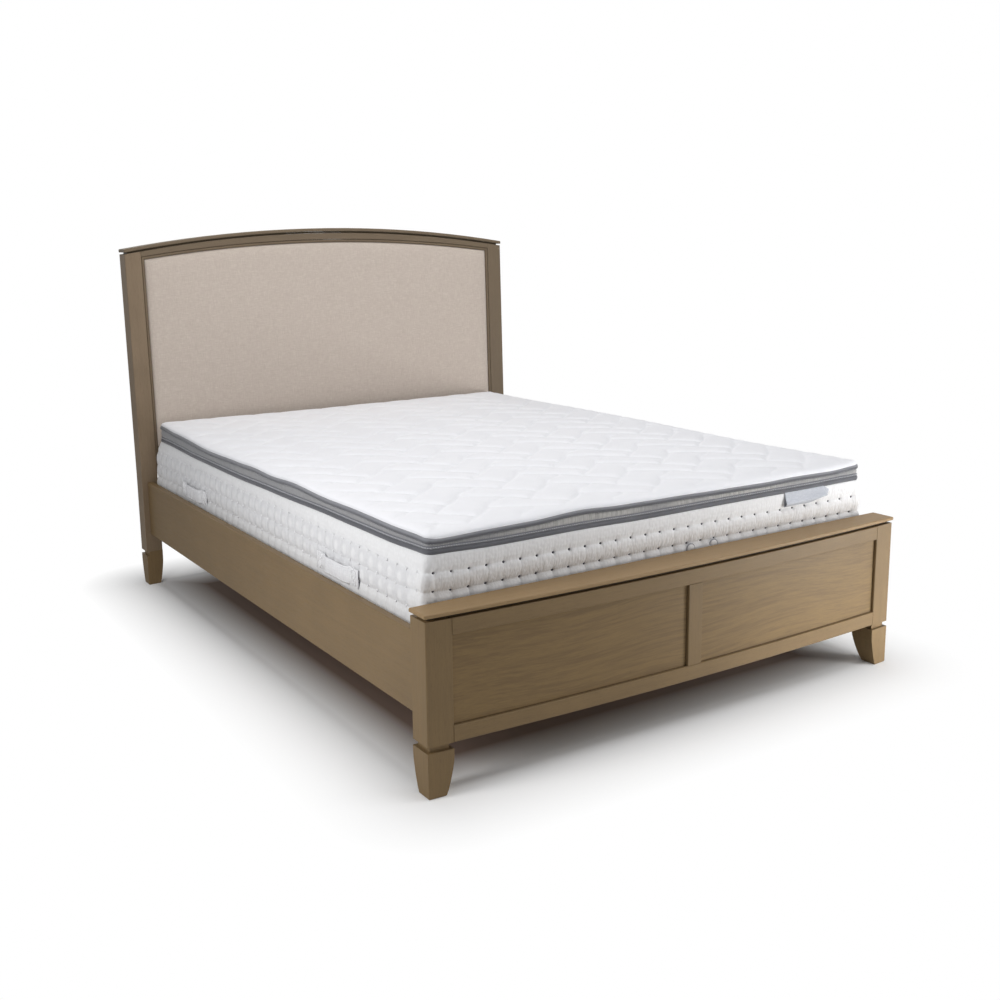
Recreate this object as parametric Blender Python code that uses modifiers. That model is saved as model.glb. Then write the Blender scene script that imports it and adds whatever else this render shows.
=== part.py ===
"""Bed with a bowed, arched, upholstered headboard, a bowed panelled footboard and a pillow-top mattress.

Metres, +Z up. X runs across the bed, the foot end is at -Y and the head end at +Y. The origin is on the
floor under the middle of the bed. Boards are drawn flat and then bent in plan, arched and raked, so that
neighbours always meet on the same curve.
"""

from math import ceil, copysign, cos, pi, sin, sqrt

import bmesh
import bpy
from mathutils import Vector

# Fits shared by all pieces
CLEARANCE = 0.0003
WELD = 0.000001
BENDING_STEPS = 20
EDGE_EASE = 0.0015
ROUNDED_ANGLE = 0.6

# Mattress
MATTRESS_WIDTH = 1.500
MATTRESS_LENGTH = 2.000
MATTRESS_CORNER = 0.030
CORNER_STEPS = 5
CORE_HEIGHT = 0.247
CORE_TOP_LIP = 0.009
CORE_BOTTOM_ROUND = 0.014
SIDE_SWELL = 0.015
SIDE_SWELL_HEIGHT = 0.140
TUFT_DRAW_IN = 0.006
FIRST_TUFT_ROW = 0.098
TUFT_ROW_PITCH = 0.046
TUFT_ROWS = 3
PILLOW_EDGE_HEIGHT = 0.033
PILLOW_CROWN = 0.010
PILLOW_EDGE_ROLL = 0.045
QUILT_PUFF = 0.007
QUILT_PERIOD_ACROSS = 0.290
QUILT_PERIOD_ALONG = 0.146
TAPE_DEPTH = 0.015
LOWER_TAPE_HEIGHT = 0.019
UPPER_TAPE_HEIGHT = 0.012
TAPE_EDGE_ROUND = 0.0015
BAND_SETBACK = 0.003

# Mattress handles and label
HANDLE_LENGTH = 0.250
HANDLE_HEIGHT = 0.050
HANDLE_THICKNESS = 0.003
HANDLE_BULGE = 0.008
HANDLE_ALONG_SHARES = (-0.5, -0.32, -0.22, 0, 0.22, 0.32, 0.5)
HANDLE_BULGE_SHARES = (0, 0, 0.8, 1, 0.8, 0, 0)
HANDLE_CENTRE_HEIGHT = 0.105
HANDLE_FROM_FOOT = 0.455
HANDLE_FROM_HEAD = 0.414
LABEL_WIDTH = 0.160
LABEL_HEIGHT = 0.036
LABEL_THICKNESS = 0.0012
LABEL_CURL = 0.012
LABEL_FROM_SIDE = 0.240
LABEL_STEPS = 6

# Side rails, and the room that they leave round the mattress
SIDE_ROOM = 0.032
END_ROOM = 0.008
SIDE_RAIL_THICKNESS = 0.022
SIDE_RAIL_HEIGHT = 0.202
SIDE_RAIL_BOTTOM = 0.198
SIDE_RAIL_SETBACK = 0.001
MATTRESS_SEAT = 0.075

# Feet, and the groove above them
FOOT_HEIGHT = 0.115
NECK_HEIGHT = 0.016
NECK_INSET = 0.009
FOOT_TOE_WIDTH = 0.048
FOOT_TOE_DEPTH = 0.046
FOOT_TAPER_START_SHARE = 0.78
FOOT_TAPER_EASE_SHARE = 0.4
FOOT_TAPER_STEPS = 7
TOE_CHAMFER = 0.003

# Footboard
FOOT_BOW = 0.026
FOOT_POST_WIDTH = 0.070
FOOT_POST_DEPTH = 0.070
FOOT_POST_TOP = 0.436
FOOT_FRAME_THICKNESS = 0.028
FOOT_RAIL_FACE = 0.041
MUNTIN_WIDTH = 0.048
PANEL_THICKNESS = 0.009
PANEL_RECESS = 0.008
PANEL_TONGUE = 0.008
FOOT_CAP_REVEAL = 0.008
FOOT_CAP_THICKNESS = 0.010
FOOT_CAP_SIDE_OVERHANG = 0.003
FOOT_CAP_FRONT_OVERHANG = 0.003
FOOT_CAP_BACK_OVERHANG = 0.002
CAP_ROUND = 0.003
CAP_ROUND_SEGMENTS = 3
SPACER_INSET = 0.012

# Headboard
HEAD_POST_PROUD = 0.020
HEAD_POST_WIDTH = 0.062
HEAD_POST_DEPTH = 0.067
HEAD_BOW = 0.026
HEAD_RAKE = 0.025
RAKE_START = 0.400
HEAD_POST_TOP = 1.250
ARCH_RISE = 0.066
HEAD_RAIL_THICKNESS = 0.041
LOW_BOARD_THICKNESS = 0.022
LOW_BOARD_HEIGHT = 0.200
MID_RAIL_BOTTOM = 0.440
MID_RAIL_TOP = 0.520
OPENING_CORNER_DROP = 0.010
OPENING_RISE = 0.051
HEAD_CAP_REVEAL = 0.007
HEAD_CAP_THICKNESS = 0.012
HEAD_CAP_OVERHANG = 0.002
HEAD_CAP_FRONT_OVERHANG = 0.003
BEAD_WIDTH = 0.011
BEAD_DEPTH = 0.012
BEAD_SETBACK = 0.001
BEAD_ACROSS_SHARES = (0, 0, 0.25, 0.75, 1, 1)
BEAD_DEPTH_SHARES = (1, 0.3, 0, 0, 0.3, 1)
PAD_EDGE_SETBACK = 0.007
PAD_CROWN = 0.013
PAD_ROLL = 0.040
PAD_ROLL_SHARES = (0, 0.12, 0.45, 1)
PAD_FLAT_ROWS = 6
PAD_BOARD_THICKNESS = 0.010
BACK_PANEL_THICKNESS = 0.006

# Slats, their ledges and the centre support
SLAT_COUNT = 12
SLAT_WIDTH = 0.095
SLAT_THICKNESS = 0.018
SLAT_END_ROOM = 0.003
SLAT_END_SETBACK = 0.032
LEDGE_WIDTH = 0.022
LEDGE_HEIGHT = 0.030
BEAM_WIDTH = 0.045
BEAM_HEIGHT = 0.060
CENTRE_LEG_WIDTH = 0.045
CENTRE_LEG_SHARES = (0.33, 0.67)
CENTRE_LEG_LIFT = 0.022

# Steel brackets
BRACKET_STEEL = 0.003
BRACKET_REACH = 0.060
BRACKET_ACROSS = 0.045
BRACKET_LIFT = 0.020
BRACKET_HEIGHT = 0.080
HANGER_LENGTH = 0.045
HANGER_CHEEK = 0.045

# Screw glides under the centre legs
GLIDE_RADIUS = 0.019
GLIDE_HEIGHT = 0.008
GLIDE_SHOULDER_RADIUS = 0.012
GLIDE_STEM_RADIUS = 0.004
GLIDE_STEM_HOLD = 0.024
GLIDE_BORE_ROOM = 0.0006
GLIDE_BORE_DEPTH = 0.040
GLIDE_SIDES = 24

# Places that follow from the sizes
HALF_MATTRESS = MATTRESS_WIDTH / 2
RAIL_INNER_X = HALF_MATTRESS + SIDE_ROOM
RAIL_OUTER_X = RAIL_INNER_X + SIDE_RAIL_THICKNESS
HALF_FOOT = RAIL_OUTER_X + SIDE_RAIL_SETBACK
HALF_HEAD = HALF_FOOT + HEAD_POST_PROUD
FOOT_INNER_X = HALF_FOOT - FOOT_POST_WIDTH
HEAD_INNER_X = HALF_HEAD - HEAD_POST_WIDTH
POST_BOTTOM = FOOT_HEIGHT + NECK_HEIGHT
SIDE_RAIL_TOP = SIDE_RAIL_BOTTOM + SIDE_RAIL_HEIGHT
SLAT_TOP = SIDE_RAIL_TOP - MATTRESS_SEAT
SLAT_BOTTOM = SLAT_TOP - SLAT_THICKNESS
CORE_TOP = SLAT_TOP + CORE_HEIGHT
RAKE_SLOPE = HEAD_RAKE / (HEAD_POST_TOP - RAKE_START)
HEAD_APEX = HEAD_POST_TOP + ARCH_RISE + HEAD_CAP_REVEAL + HEAD_CAP_THICKNESS
INNER_LENGTH = MATTRESS_LENGTH + 2 * END_ROOM
HEAD_DEPTH = HEAD_POST_DEPTH + HEAD_CAP_OVERHANG + (HEAD_APEX - RAKE_START) * RAKE_SLOPE
FOOT_DEPTH = FOOT_BOW + FOOT_CAP_FRONT_OVERHANG + FOOT_POST_DEPTH
BED_LENGTH = FOOT_DEPTH + INNER_LENGTH + HEAD_DEPTH
FOOT_BACK_Y = FOOT_DEPTH - BED_LENGTH / 2
FOOT_FACE_Y = FOOT_BACK_Y - FOOT_POST_DEPTH
HEAD_FACE_Y = FOOT_BACK_Y + INNER_LENGTH
MATTRESS_Y = (FOOT_BACK_Y + HEAD_FACE_Y) / 2

# Finishes: colour in sRGB, roughness, metallic
OAK = ((158, 139, 112), 0.50, 0.0)
OAK_DARK = ((112, 97, 76), 0.55, 0.0)
PLY = ((186, 160, 122), 0.65, 0.0)
LINEN = ((190, 177, 168), 0.95, 0.0)
TICKING = ((236, 236, 238), 0.90, 0.0)
GREY_TAPE = ((112, 113, 118), 0.80, 0.0)
LABEL_CLOTH = ((172, 176, 184), 0.85, 0.0)
STEEL = ((96, 98, 100), 0.40, 1.0)
NYLON = ((40, 40, 42), 0.60, 0.0)


def linear(channel):
    """One sRGB channel of 0 to 255 as the linear value that a shader takes."""
    value = channel / 255
    return value / 12.92 if value <= 0.04045 else ((value + 0.055) / 1.055) ** 2.4


def arc_rise(along, half_span, rise):
    """Height of a shallow arc over its chord, at this distance from its middle."""
    radius = (half_span**2 + rise**2) / (2 * rise)
    return sqrt(radius**2 - along**2) - (radius - rise)


def start_scene():
    for obj in list(bpy.data.objects):
        bpy.data.objects.remove(obj, do_unlink=True)
    parts = bpy.data.collections.new("bed")
    cutters = bpy.data.collections.new("cutters")
    for collection in (parts, cutters):
        bpy.context.scene.collection.children.link(collection)
    return parts, cutters


PARTS, CUTTERS = start_scene()


def placed_empty(name, location, parent=None):
    """An empty that carries a group of pieces, or marks a joint."""
    empty = bpy.data.objects.new(name, None)
    empty.location = location
    empty.parent = parent
    PARTS.objects.link(empty)
    return empty


def piece(name, bm, finish, parent=None, smooth=False):
    """Turns a bmesh into a named object with its own material."""
    bmesh.ops.recalc_face_normals(bm, faces=bm.faces)
    for face in bm.faces:
        face.smooth = smooth
    mesh = bpy.data.meshes.new(name)
    bm.to_mesh(mesh)
    bm.free()
    obj = bpy.data.objects.new(name, mesh)
    obj.parent = parent
    PARTS.objects.link(obj)
    colour, roughness, metallic = finish
    material = bpy.data.materials.new(name)
    material.use_nodes = True
    shader = material.node_tree.nodes["Principled BSDF"]
    shader.inputs["Base Color"].default_value = (*map(linear, colour), 1.0)
    shader.inputs["Roughness"].default_value = roughness
    shader.inputs["Metallic"].default_value = metallic
    mesh.materials.append(material)
    return obj


def round_cap_edges(obj):
    """Rounds the sharp edges of a cap, and leaves the shallow ones of its bend."""
    bevel = obj.modifiers.new("rounded edges", "BEVEL")
    bevel.width = CAP_ROUND
    bevel.segments = CAP_ROUND_SEGMENTS
    bevel.limit_method = "ANGLE"
    bevel.angle_limit = ROUNDED_ANGLE
    return obj


def box(x_range, y_range, z_range):
    bm = bmesh.new()
    bmesh.ops.create_cube(bm, size=1)
    low, high = (Vector(corner) for corner in zip(x_range, y_range, z_range))
    bmesh.ops.scale(bm, vec=high - low, verts=bm.verts)
    bmesh.ops.translate(bm, vec=(low + high) / 2, verts=bm.verts)
    return bm


def rectangle(a_range, b_range):
    """The four corners of a section, in order."""
    (a_from, a_to), (b_from, b_to) = a_range, b_range
    return [(a_from, b_from), (a_to, b_from), (a_to, b_to), (a_from, b_to)]


def prism(outline, start, end):
    """A closed outline of 3-D points, drawn from start to end."""
    bm = bmesh.new()
    face = bm.faces.new([bm.verts.new(Vector(point) + start) for point in outline])
    made = bmesh.ops.extrude_face_region(bm, geom=[face])["geom"]
    moved = [item for item in made if isinstance(item, bmesh.types.BMVert)]
    bmesh.ops.translate(bm, vec=end - start, verts=moved)
    return bm


def board(profile, start, end):
    """A length along X with a section of (y, z) points."""
    outline = [(0, y, z) for y, z in profile]
    return prism(outline, Vector((start, 0, 0)), Vector((end, 0, 0)))


def stile(section, bottom, top):
    """A length along Z with a section of (x, y) points."""
    outline = [(x, y, 0) for x, y in section]
    return prism(outline, Vector((0, 0, bottom)), Vector((0, 0, top)))


def ease_long_edges(bm, along):
    """Takes the sharpness off the corner edges that run along one axis, 0 for X, 1 for Y or 2 for Z."""
    across = [axis for axis in range(3) if axis != along]
    ends = {axis: (min(vert.co[axis] for vert in bm.verts), max(vert.co[axis] for vert in bm.verts))
            for axis in across}

    def on_a_corner(vert):
        return all(min(abs(vert.co[axis] - end) for end in ends[axis]) < WELD for axis in across)

    def runs_along(edge):
        step = edge.verts[1].co - edge.verts[0].co
        return all(abs(step[axis]) < WELD for axis in across)

    corners = [edge for edge in bm.edges if runs_along(edge) and all(map(on_a_corner, edge.verts))]
    bmesh.ops.bevel(bm, geom=corners, offset=EDGE_EASE, segments=1, profile=0.5, affect="EDGES", material=-1)
    return bm


def slice_across(bm, axis, places):
    """Adds a loop of edges at each place along the axis, 0 for X or 2 for Z."""
    normal = Vector([float(axis == other) for other in range(3)])
    for place in places:
        geometry = bm.verts[:] + bm.edges[:] + bm.faces[:]
        bmesh.ops.bisect_plane(bm, geom=geometry, dist=WELD, plane_co=normal * place, plane_no=normal)
    return bm


def bending_places(half_span):
    """Even stations along a board, the middle one at the crown of its bend."""
    return [half_span * (2 * step / BENDING_STEPS - 1) for step in range(1, BENDING_STEPS)]


def reshape(bm, move):
    for vert in bm.verts:
        vert.co = move(vert.co.copy())
    return bm


def formed_grid(across, along, place, closed_across=False, closed_along=False):
    """A grid laid over a formula of two shares, from 0 to 1, and welded where its ends meet."""
    bm = bmesh.new()
    bmesh.ops.create_grid(bm, x_segments=across, y_segments=along, size=1)
    for vert in bm.verts:
        column = round((vert.co.x + 1) / 2 * across)
        row = round((vert.co.y + 1) / 2 * along)
        if closed_across:
            column %= across
        if closed_along:
            row %= along
        vert.co = place(column, row)
    bmesh.ops.remove_doubles(bm, verts=bm.verts, dist=WELD)
    return bm


# Footboard, drawn with its face at y = 0 and its back at +y


def foot_bow(x):
    return arc_rise(x, HALF_FOOT, FOOT_BOW)


def bend_foot(co):
    co.y -= foot_bow(co.x)
    return co


def bend_foot_front(co):
    """Bends the front only, and leaves the back straight."""
    return bend_foot(co) if co.y < FOOT_POST_DEPTH / 2 else co


def panel_groove(edge, inward):
    """The corners of a groove in an edge that faces a panel, as (across, depth) pairs."""
    front = PANEL_RECESS - CLEARANCE
    back = PANEL_RECESS + PANEL_THICKNESS + CLEARANCE
    deep = edge + inward * (PANEL_TONGUE + CLEARANCE)
    return [(edge, front), (deep, front), (deep, back), (edge, back)]


def footboard_post(name, side, parent):
    outer = side * HALF_FOOT
    inner = side * FOOT_INNER_X
    section = [(outer, 0), (inner, 0), *panel_groove(inner, side), (inner, FOOT_POST_DEPTH),
               (outer, FOOT_POST_DEPTH)]
    bm = ease_long_edges(stile(section, POST_BOTTOM, FOOT_POST_TOP), 2)
    return piece(name, reshape(bm, bend_foot_front), OAK, parent)


def footboard_rail(name, far_edge, grooved_edge, inward, parent):
    groove = [(y, z) for z, y in panel_groove(grooved_edge, inward)]
    profile = [(0, grooved_edge), *groove, (FOOT_FRAME_THICKNESS, grooved_edge),
               (FOOT_FRAME_THICKNESS, far_edge), (0, far_edge)]
    half = FOOT_INNER_X - CLEARANCE
    bm = slice_across(ease_long_edges(board(profile, -half, half), 0), 0, bending_places(HALF_FOOT))
    return piece(name, reshape(bm, bend_foot), OAK, parent)


def footboard_muntin(bottom, top, parent):
    half = MUNTIN_WIDTH / 2
    section = [(-half, 0), *panel_groove(-half, 1), (-half, FOOT_FRAME_THICKNESS),
               (half, FOOT_FRAME_THICKNESS), *reversed(panel_groove(half, -1)), (half, 0)]
    bm = ease_long_edges(stile(section, bottom + CLEARANCE, top - CLEARANCE), 2)
    return piece("footboard_muntin", reshape(bm, bend_foot), OAK, parent)


def footboard_panel(name, side, bottom, top, parent):
    near = side * (MUNTIN_WIDTH / 2 - PANEL_TONGUE)
    far = side * (FOOT_INNER_X + PANEL_TONGUE)
    depth = (PANEL_RECESS, PANEL_RECESS + PANEL_THICKNESS)
    profile = rectangle(depth, (bottom - PANEL_TONGUE, top + PANEL_TONGUE))
    bm = slice_across(board(profile, near, far), 0, bending_places(HALF_FOOT))
    return piece(name, reshape(bm, bend_foot), OAK, parent)


def footboard_spacer(parent):
    """The set-back strip that leaves the dark line under the cap."""
    half = HALF_FOOT - SPACER_INSET
    depth = (SPACER_INSET, FOOT_POST_DEPTH - SPACER_INSET)
    height = (FOOT_POST_TOP + CLEARANCE, FOOT_POST_TOP + FOOT_CAP_REVEAL - CLEARANCE)
    bm = slice_across(board(rectangle(depth, height), -half, half), 0, bending_places(HALF_FOOT))
    return piece("footboard_cap_spacer", reshape(bm, bend_foot_front), OAK_DARK, parent)


def footboard_cap(parent):
    half = HALF_FOOT + FOOT_CAP_SIDE_OVERHANG
    depth = (-FOOT_CAP_FRONT_OVERHANG, FOOT_POST_DEPTH + FOOT_CAP_BACK_OVERHANG)
    bottom = FOOT_POST_TOP + FOOT_CAP_REVEAL
    profile = rectangle(depth, (bottom, bottom + FOOT_CAP_THICKNESS))
    bm = slice_across(board(profile, -half, half), 0, bending_places(HALF_FOOT))
    return round_cap_edges(piece("footboard_cap", reshape(bm, bend_foot_front), OAK, parent))


def taper_inset(height, full_inset):
    """How far an inner face of a foot has drawn in at this height: a curve that eases into a straight taper."""
    start = FOOT_HEIGHT * FOOT_TAPER_START_SHARE
    share = max(0, 1 - height / start)
    return full_inset * share * (share * FOOT_TAPER_EASE_SHARE + 1 - FOOT_TAPER_EASE_SHARE)


def foot_levels(width, depth, neck_insets):
    """Rings of a foot from the floor up: a height, and the insets of its outer, inner, front and back faces."""
    levels = []
    for step in range(FOOT_TAPER_STEPS + 1):
        height = FOOT_HEIGHT * step / FOOT_TAPER_STEPS
        inner = taper_inset(height, width - FOOT_TOE_WIDTH)
        back = taper_inset(height, depth - FOOT_TOE_DEPTH)
        levels.append((max(height, TOE_CHAMFER), 0, inner, 0, back))
    toe = [0, *(inset + TOE_CHAMFER for inset in levels[0][1:])]
    return [toe, *levels, (FOOT_HEIGHT, *neck_insets), (POST_BOTTOM - CLEARANCE, *neck_insets)]


def foot(name, side, outer, width, depth, neck_insets, bend, parent):
    """A tapered foot with a drawn-in neck, which leaves a groove under the post."""
    levels = foot_levels(width, depth, neck_insets)

    def place(corner, row):
        height, outer_inset, inner_inset, front_inset, back_inset = levels[row]
        near = side * (outer - outer_inset)
        far = side * (outer - width + inner_inset)
        front, back = front_inset, depth - back_inset
        return Vector((*((near, front), (far, front), (far, back), (near, back))[corner], height))

    bm = formed_grid(4, len(levels) - 1, place, closed_across=True)
    bmesh.ops.holes_fill(bm, edges=bm.edges, sides=4)
    return piece(name, reshape(bm, bend), OAK, parent)


def build_footboard():
    frame = placed_empty("footboard", (0, FOOT_FACE_Y, 0))
    low_opening = POST_BOTTOM + FOOT_RAIL_FACE
    high_opening = FOOT_POST_TOP - FOOT_RAIL_FACE
    neck_insets = (NECK_INSET, NECK_INSET, NECK_INSET, NECK_INSET)
    for side, word in ((-1, "left"), (1, "right")):
        footboard_post(f"footboard_{word}_post", side, frame)
        footboard_panel(f"footboard_{word}_panel", side, low_opening, high_opening, frame)
        foot(f"footboard_{word}_foot", side, HALF_FOOT, FOOT_POST_WIDTH, FOOT_POST_DEPTH, neck_insets,
             bend_foot_front, frame)
    footboard_rail("footboard_bottom_rail", POST_BOTTOM, low_opening, -1, frame)
    footboard_rail("footboard_top_rail", FOOT_POST_TOP, high_opening, 1, frame)
    footboard_muntin(low_opening, high_opening, frame)
    footboard_spacer(frame)
    footboard_cap(frame)


# Headboard, drawn upright with its face at y = 0, then bowed away from the mattress and raked


def head_bow(x):
    return arc_rise(x, HALF_HEAD, HEAD_BOW)


def arch(x):
    return arc_rise(x, HALF_HEAD, ARCH_RISE)


def opening_top(x):
    return HEAD_POST_TOP - OPENING_CORNER_DROP + arc_rise(x, HEAD_INNER_X, OPENING_RISE)


def rake(co):
    co.y += max(0, co.z - RAKE_START) * RAKE_SLOPE
    return co


def bend_head(co):
    co.y += head_bow(co.x)
    return rake(co)


def bend_head_front(co):
    """Bends the front only, and leaves the back straight."""
    return bend_head(co) if co.y < HEAD_POST_DEPTH / 2 else rake(co)


def headboard_post(name, side, parent):
    across = sorted((side * HEAD_INNER_X, side * HALF_HEAD))
    bm = stile(rectangle(across, (0, HEAD_POST_DEPTH)), POST_BOTTOM, HEAD_POST_TOP)
    slice_across(ease_long_edges(bm, 2), 2, [RAKE_START])

    def arched(co):
        if co.z > (RAKE_START + HEAD_POST_TOP) / 2:
            co.z += arch(co.x)
        return bend_head_front(co)

    return piece(name, reshape(bm, arched), OAK, parent)


def cross_board(name, depth, height, parent):
    """A board between the posts, bent to the headboard's bow."""
    half = HEAD_INNER_X - CLEARANCE
    bm = ease_long_edges(board(rectangle(depth, height), -half, half), 0)
    return piece(name, reshape(slice_across(bm, 0, bending_places(HALF_HEAD)), bend_head), OAK, parent)


def arched_board(name, depth, bottom_at, top_at, finish, parent, eased=False):
    """A bowed board between the posts, whose bottom and top edges follow formulas of x."""
    half = HEAD_INNER_X - CLEARANCE
    height = (bottom_at(half), top_at(half))
    bm = board(rectangle(depth, height), -half, half)
    if eased:
        ease_long_edges(bm, 0)
    slice_across(bm, 0, bending_places(HALF_HEAD))

    def arched(co):
        follows = top_at if co.z > sum(height) / 2 else bottom_at
        co.z += follows(co.x) - follows(half)
        return bend_head(co)

    return piece(name, reshape(bm, arched), finish, parent)


def arched_strip(name, half, depth, bottom, thickness, finish, parent):
    """A strip laid over the arch, with a bowed front and a straight back."""
    profile = rectangle(depth, (bottom, bottom + thickness))
    bm = slice_across(board(profile, -half, half), 0, bending_places(HALF_HEAD))

    def arched(co):
        co.z += arch(co.x)
        return bend_head_front(co)

    return piece(name, reshape(bm, arched), finish, parent)


def headboard_bead(parent):
    """The moulding round the pad, with a rounded face: along its sill, and back over its arch."""
    half = HEAD_INNER_X - CLEARANCE
    across = [place for place in bending_places(HALF_HEAD) if abs(place) < half - BEAD_WIDTH]
    sill = [-half, *across, half]
    stations = [(x, False) for x in sill] + [(x, True) for x in sill[::-1]]

    def place(corner, station):
        x, over_arch = stations[station]
        inward = BEAD_WIDTH * BEAD_ACROSS_SHARES[corner]
        if abs(x) == half:
            x -= inward if x > 0 else -inward
        z = opening_top(x) - CLEARANCE - inward if over_arch else MID_RAIL_TOP + CLEARANCE + inward
        return Vector((x, BEAD_SETBACK + BEAD_DEPTH * BEAD_DEPTH_SHARES[corner], z))

    bm = formed_grid(len(BEAD_ACROSS_SHARES), len(stations), place, closed_across=True, closed_along=True)
    return piece("headboard_bead", reshape(bm, bend_head), OAK, parent)


def pad_columns(half):
    """Places across the pad: close together in its rolled edges, and even between them."""
    edge = [half - PAD_ROLL * share for share in PAD_ROLL_SHARES]
    inside = [place for place in bending_places(HALF_HEAD) if abs(place) < half - PAD_ROLL - BEAD_WIDTH]
    return [-place for place in edge] + inside + edge[::-1]


def headboard_pad(parent):
    """The upholstered pad: a crown whose edges roll back into the bead, and a back on its board."""
    half = HEAD_INNER_X - BEAD_WIDTH - 2 * CLEARANCE
    bottom = MID_RAIL_TOP + BEAD_WIDTH + 2 * CLEARANCE
    columns = pad_columns(half)
    row_count = 2 * len(PAD_ROLL_SHARES) + PAD_FLAT_ROWS

    def row_height(row, top):
        from_top = row_count - 1 - row
        if row < len(PAD_ROLL_SHARES):
            return bottom + PAD_ROLL * PAD_ROLL_SHARES[row]
        if from_top < len(PAD_ROLL_SHARES):
            return top - PAD_ROLL * PAD_ROLL_SHARES[from_top]
        share = (row - len(PAD_ROLL_SHARES) + 1) / (PAD_FLAT_ROWS + 1)
        return bottom + PAD_ROLL + share * (top - bottom - 2 * PAD_ROLL)

    def swell(distance):
        share = min(1, max(0, distance / PAD_ROLL))
        return sqrt(1 - (1 - share) ** 2)

    def place(column, row):
        x = columns[column]
        top = opening_top(x) - BEAD_WIDTH - 2 * CLEARANCE
        z = row_height(row, top)
        rise = swell(half - abs(x)) * swell(z - bottom) * swell(top - z)
        return Vector((x, PAD_EDGE_SETBACK - PAD_CROWN * rise, z))

    bm = formed_grid(len(columns) - 1, row_count - 1, place)
    made = bmesh.ops.extrude_face_region(bm, geom=bm.faces[:])["geom"]
    for item in made:
        if isinstance(item, bmesh.types.BMVert):
            item.co.y = BEAD_SETBACK + BEAD_DEPTH
    return piece("headboard_pad", reshape(bm, bend_head), LINEN, parent, smooth=True)


def build_headboard():
    frame = placed_empty("headboard", (0, HEAD_FACE_Y, 0))
    neck_insets = (NECK_INSET, 0, 0, NECK_INSET)
    for side, word in ((-1, "left"), (1, "right")):
        headboard_post(f"headboard_{word}_post", side, frame)
        foot(f"headboard_{word}_foot", side, HALF_HEAD, HEAD_POST_WIDTH, HEAD_POST_DEPTH, neck_insets,
             bend_head_front, frame)
    low_board_height = (SIDE_RAIL_BOTTOM, SIDE_RAIL_BOTTOM + LOW_BOARD_HEIGHT)
    cross_board("headboard_low_board", (0, LOW_BOARD_THICKNESS), low_board_height, frame)
    cross_board("headboard_mid_rail", (0, HEAD_RAIL_THICKNESS), (MID_RAIL_BOTTOM, MID_RAIL_TOP), frame)
    arched_board("headboard_top_rail", (0, HEAD_RAIL_THICKNESS), opening_top,
                 lambda x: HEAD_POST_TOP + arch(x), OAK, frame, eased=True)
    headboard_bead(frame)
    headboard_pad(frame)
    pad_back = BEAD_SETBACK + BEAD_DEPTH + CLEARANCE
    for name, depth, finish in (
        ("headboard_pad_board", (pad_back, pad_back + PAD_BOARD_THICKNESS), PLY),
        ("headboard_back_panel", (HEAD_RAIL_THICKNESS - BACK_PANEL_THICKNESS, HEAD_RAIL_THICKNESS), OAK_DARK),
    ):
        arched_board(name, depth, lambda x: MID_RAIL_TOP + CLEARANCE, lambda x: opening_top(x) - CLEARANCE,
                     finish, frame)
    arched_strip("headboard_cap_spacer", HALF_HEAD - SPACER_INSET,
                 (SPACER_INSET, HEAD_POST_DEPTH - SPACER_INSET), HEAD_POST_TOP + CLEARANCE,
                 HEAD_CAP_REVEAL - 2 * CLEARANCE, OAK_DARK, frame)
    cap_depth = (-HEAD_CAP_FRONT_OVERHANG, HEAD_POST_DEPTH + HEAD_CAP_OVERHANG)
    round_cap_edges(arched_strip("headboard_cap", HALF_HEAD + HEAD_CAP_OVERHANG, cap_depth,
                                 HEAD_POST_TOP + HEAD_CAP_REVEAL, HEAD_CAP_THICKNESS, OAK, frame))


# Side rails, slats and the centre support


def long_board(name, x_range, y_range, z_range, along, finish):
    """A straight board with eased edges along the axis, 0 for X, 1 for Y or 2 for Z."""
    return piece(name, ease_long_edges(box(x_range, y_range, z_range), along), finish)


def head_seat_y(x):
    """The face of a head post at this x, where its bowed front is a straight run between its edges."""
    share = (HALF_HEAD - x) / HEAD_POST_WIDTH
    return HEAD_FACE_Y + share * head_bow(HEAD_INNER_X)


def build_side(word, side):
    length = (FOOT_BACK_Y + CLEARANCE, head_seat_y(RAIL_OUTER_X) - CLEARANCE)
    across = sorted((side * RAIL_INNER_X, side * RAIL_OUTER_X))
    long_board(f"{word}_side_rail", across, length, (SIDE_RAIL_BOTTOM, SIDE_RAIL_TOP), 1, OAK)
    seat = RAIL_INNER_X - CLEARANCE
    past_brackets = BRACKET_REACH + 2 * CLEARANCE
    length = (FOOT_BACK_Y + past_brackets, HEAD_FACE_Y - past_brackets)
    across = sorted((side * (seat - LEDGE_WIDTH), side * seat))
    ledge_top = SLAT_BOTTOM - CLEARANCE
    long_board(f"{word}_slat_ledge", across, length, (ledge_top - LEDGE_HEIGHT, ledge_top), 1, PLY)


def corner_bracket(name, side, corner_y, inward):
    """A steel angle in the corner between a side rail and a board."""
    corner_x = RAIL_INNER_X - CLEARANCE
    angle = [(0, 0), (BRACKET_ACROSS, 0), (BRACKET_ACROSS, BRACKET_STEEL), (BRACKET_STEEL, BRACKET_STEEL),
             (BRACKET_STEEL, BRACKET_REACH), (0, BRACKET_REACH)]
    section = [(side * (corner_x - across), corner_y + inward * along) for across, along in angle]
    bottom = SIDE_RAIL_BOTTOM + BRACKET_LIFT
    return piece(name, stile(section, bottom, bottom + BRACKET_HEIGHT), STEEL)


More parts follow.
